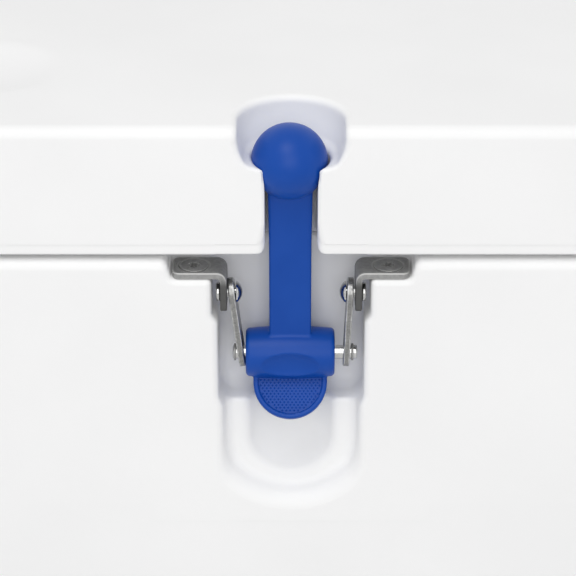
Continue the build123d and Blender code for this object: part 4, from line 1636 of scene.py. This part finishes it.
@dataclass
class LidSeal:
    """The lid's seal: a strip with a soft bulb below, around the opening."""

    paint: Paint
    wide: float = 10.0
    strip_t: float = 2.2
    bulb: tuple[float, ...] = (7.5, 6.2, 3.8, 2.5)
    bulb_round: float = 1.0
    corner: float = 22.0
    count: int = 12

    def build(self) -> None:
        """Sweeps the strip's profile around the opening."""
        low, high = box_mm("lid_gasket")
        half = (high - low)[:2] / 2
        path = []
        for turn, signs in enumerate(((1, 1), (-1, 1), (-1, -1), (1, -1))):
            for n in range(self.count + 1):
                angle = math.pi / 2 * (turn + n / self.count)
                out = np.array([math.cos(angle), math.sin(angle)])
                path.append((np.array(signs) * (half - self.corner) + out * self.corner, out))
        top, bottom, soft = high[2], low[2], self.bulb_round
        a, b, c, d = self.bulb
        rows = soften([(0, top), (-self.wide, top), (-self.wide, top - self.strip_t), (-a, bottom + soft),
                       (-b, bottom), (-c, bottom), (-d, bottom + soft), (0, top - self.strip_t)], soft)
        points = [(*(spot + out * far), z) for spot, out in path for far, z in rows]
        faces = ring_faces(len(path), len(rows), True)
        seal = mend(mesh_object("lid_seal_strip", np.array(points) * MM, faces, 50.0), 1e-7)
        self.paint.attach(seal, "lid", Look.SEAL, "lid_gasket")


# ---------------------------------------------------------------- stage
@dataclass
class Stage:
    """Camera, lamps, world and floor, in metres.

    Attributes:
        target: what the camera and lamps face, near the left latch.
        frame_width: how wide the picture is at the target.
        lamps: each lamp's name, place, edge and wattage.
        sky: how brightly the world lights the chest.
    """

    target: Triple = (-0.1513, -0.205, 0.3325)
    elevation_deg: float = 27.0
    distance: float = 1.0
    frame_width: float = 0.242
    sensor_mm: float = 36.0
    lamps: tuple = (
        ("Key", (-0.4, -1.1, 2.15), 1.0, 9.2),
        ("Fill", (-0.15, -1.75, 1.05), 1.1, 6.2),
    )
    sky: float = 0.66
    floor_edge: float = 6.0
    floor_grey: float = 0.80

    def camera(self) -> None:
        """Places the camera, which looks at the latch from above the front."""
        data = bpy.data.cameras.new("Camera")
        data.sensor_width = self.sensor_mm
        data.lens = self.sensor_mm * self.distance / self.frame_width
        data.clip_start = 0.01
        camera = link_object("Camera", data)
        elevation = math.radians(self.elevation_deg)
        away = Vector((0.0, -math.cos(elevation), math.sin(elevation)))
        camera.location = Vector(self.target) + away * self.distance
        camera.rotation_euler = (-away).to_track_quat("-Z", "Y").to_euler()
        bpy.context.scene.camera = camera

    def light(self) -> None:
        """Adds the square lamps, which face the target."""
        for name, spot, size, power in self.lamps:
            data = bpy.data.lights.new(name, "AREA")
            data.size, data.energy = size, power
            lamp = link_object(name, data)
            lamp.location = spot
            lamp.rotation_euler = (Vector(self.target) - Vector(spot)).to_track_quat("-Z", "Y").to_euler()

    def world(self) -> None:
        """Makes a plain pale world that the camera and mirrors see as white."""
        world = bpy.data.worlds.new("World")
        bpy.context.scene.world = world
        world.use_nodes = True
        tree, white = world.node_tree, (1.0, 1.0, 1.0, 1.0)
        light = connect(tree, tree.nodes["Background"], {"Color": white, "Strength": self.sky})
        seen = add_node(tree, "ShaderNodeBackground", {"Color": white, "Strength": 1.0})
        path = tree.nodes.new("ShaderNodeLightPath")
        seen_by = path.outputs["Is Camera Ray"]
        for ray in ("Is Transmission Ray", "Is Glossy Ray"):
            either = add_node(tree, "ShaderNodeMath", {0: seen_by, 1: path.outputs[ray]}, operation="MAXIMUM")
            seen_by = either.outputs[0]
        mix = add_node(tree, "ShaderNodeMixShader", {"Fac": seen_by, 1: light.outputs[0], 2: seen.outputs[0]})
        connect(tree, tree.nodes["World Output"], {"Surface": mix.outputs[0]})

    def floor(self) -> None:
        """Lays a wide pale floor under the feet."""
        mesh = bpy.data.meshes.new("Floor")
        edge, grey = self.floor_edge, self.floor_grey
        corners = [(-edge, -edge, 0), (edge, -edge, 0), (edge, edge, 0), (-edge, edge, 0)]
        mesh.from_pydata(corners, [], [(0, 1, 2, 3)])
        floor = link_object("Floor", mesh)
        material = bpy.data.materials.new("FloorPaper")
        material.use_nodes = True
        tree = material.node_tree
        finish = {"Base Color": (grey, grey, grey, 1.0), "Roughness": 0.8}
        connect(tree, tree.nodes["Principled BSDF"], finish)
        mesh.materials.append(material)
        floor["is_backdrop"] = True

    def build(self) -> None:
        """Sets the whole stage."""
        bpy.context.scene.view_settings.view_transform = "Standard"
        self.camera()
        self.world()
        self.light()
        self.floor()


def main() -> None:
    """Builds every sub-assembly in order and reports each piece."""
    logging.basicConfig(level=logging.INFO, format="%(name)s: %(message)s")
    Stage().build()
    paint = Paint()
    for name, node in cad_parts.items():
        paint.dress(node, look_of(name))
        LOG.info("%s dressed as %s", name, look_of(name).name)
    ChestFront(paint).build()
    LidShell(paint).build()
    rubber, steel = Rubber(paint), Hardware(paint)
    for side in MIDDLES:
        rubber.build(side)
        rubber.knurl(side)
        steel.dress(side)
        handle = Handle(paint, side)
        handle.grip()
        handle.screws()
    Feet(paint).build()
    Drain(paint).build()
    LidSeal(paint).build()
    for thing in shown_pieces():
        if thing.type == "MESH":
            LOG.info("%s has %d triangles", thing.name, sum(len(f.vertices) - 2 for f in thing.data.polygons))


if __name__ == "__main__":
    main()
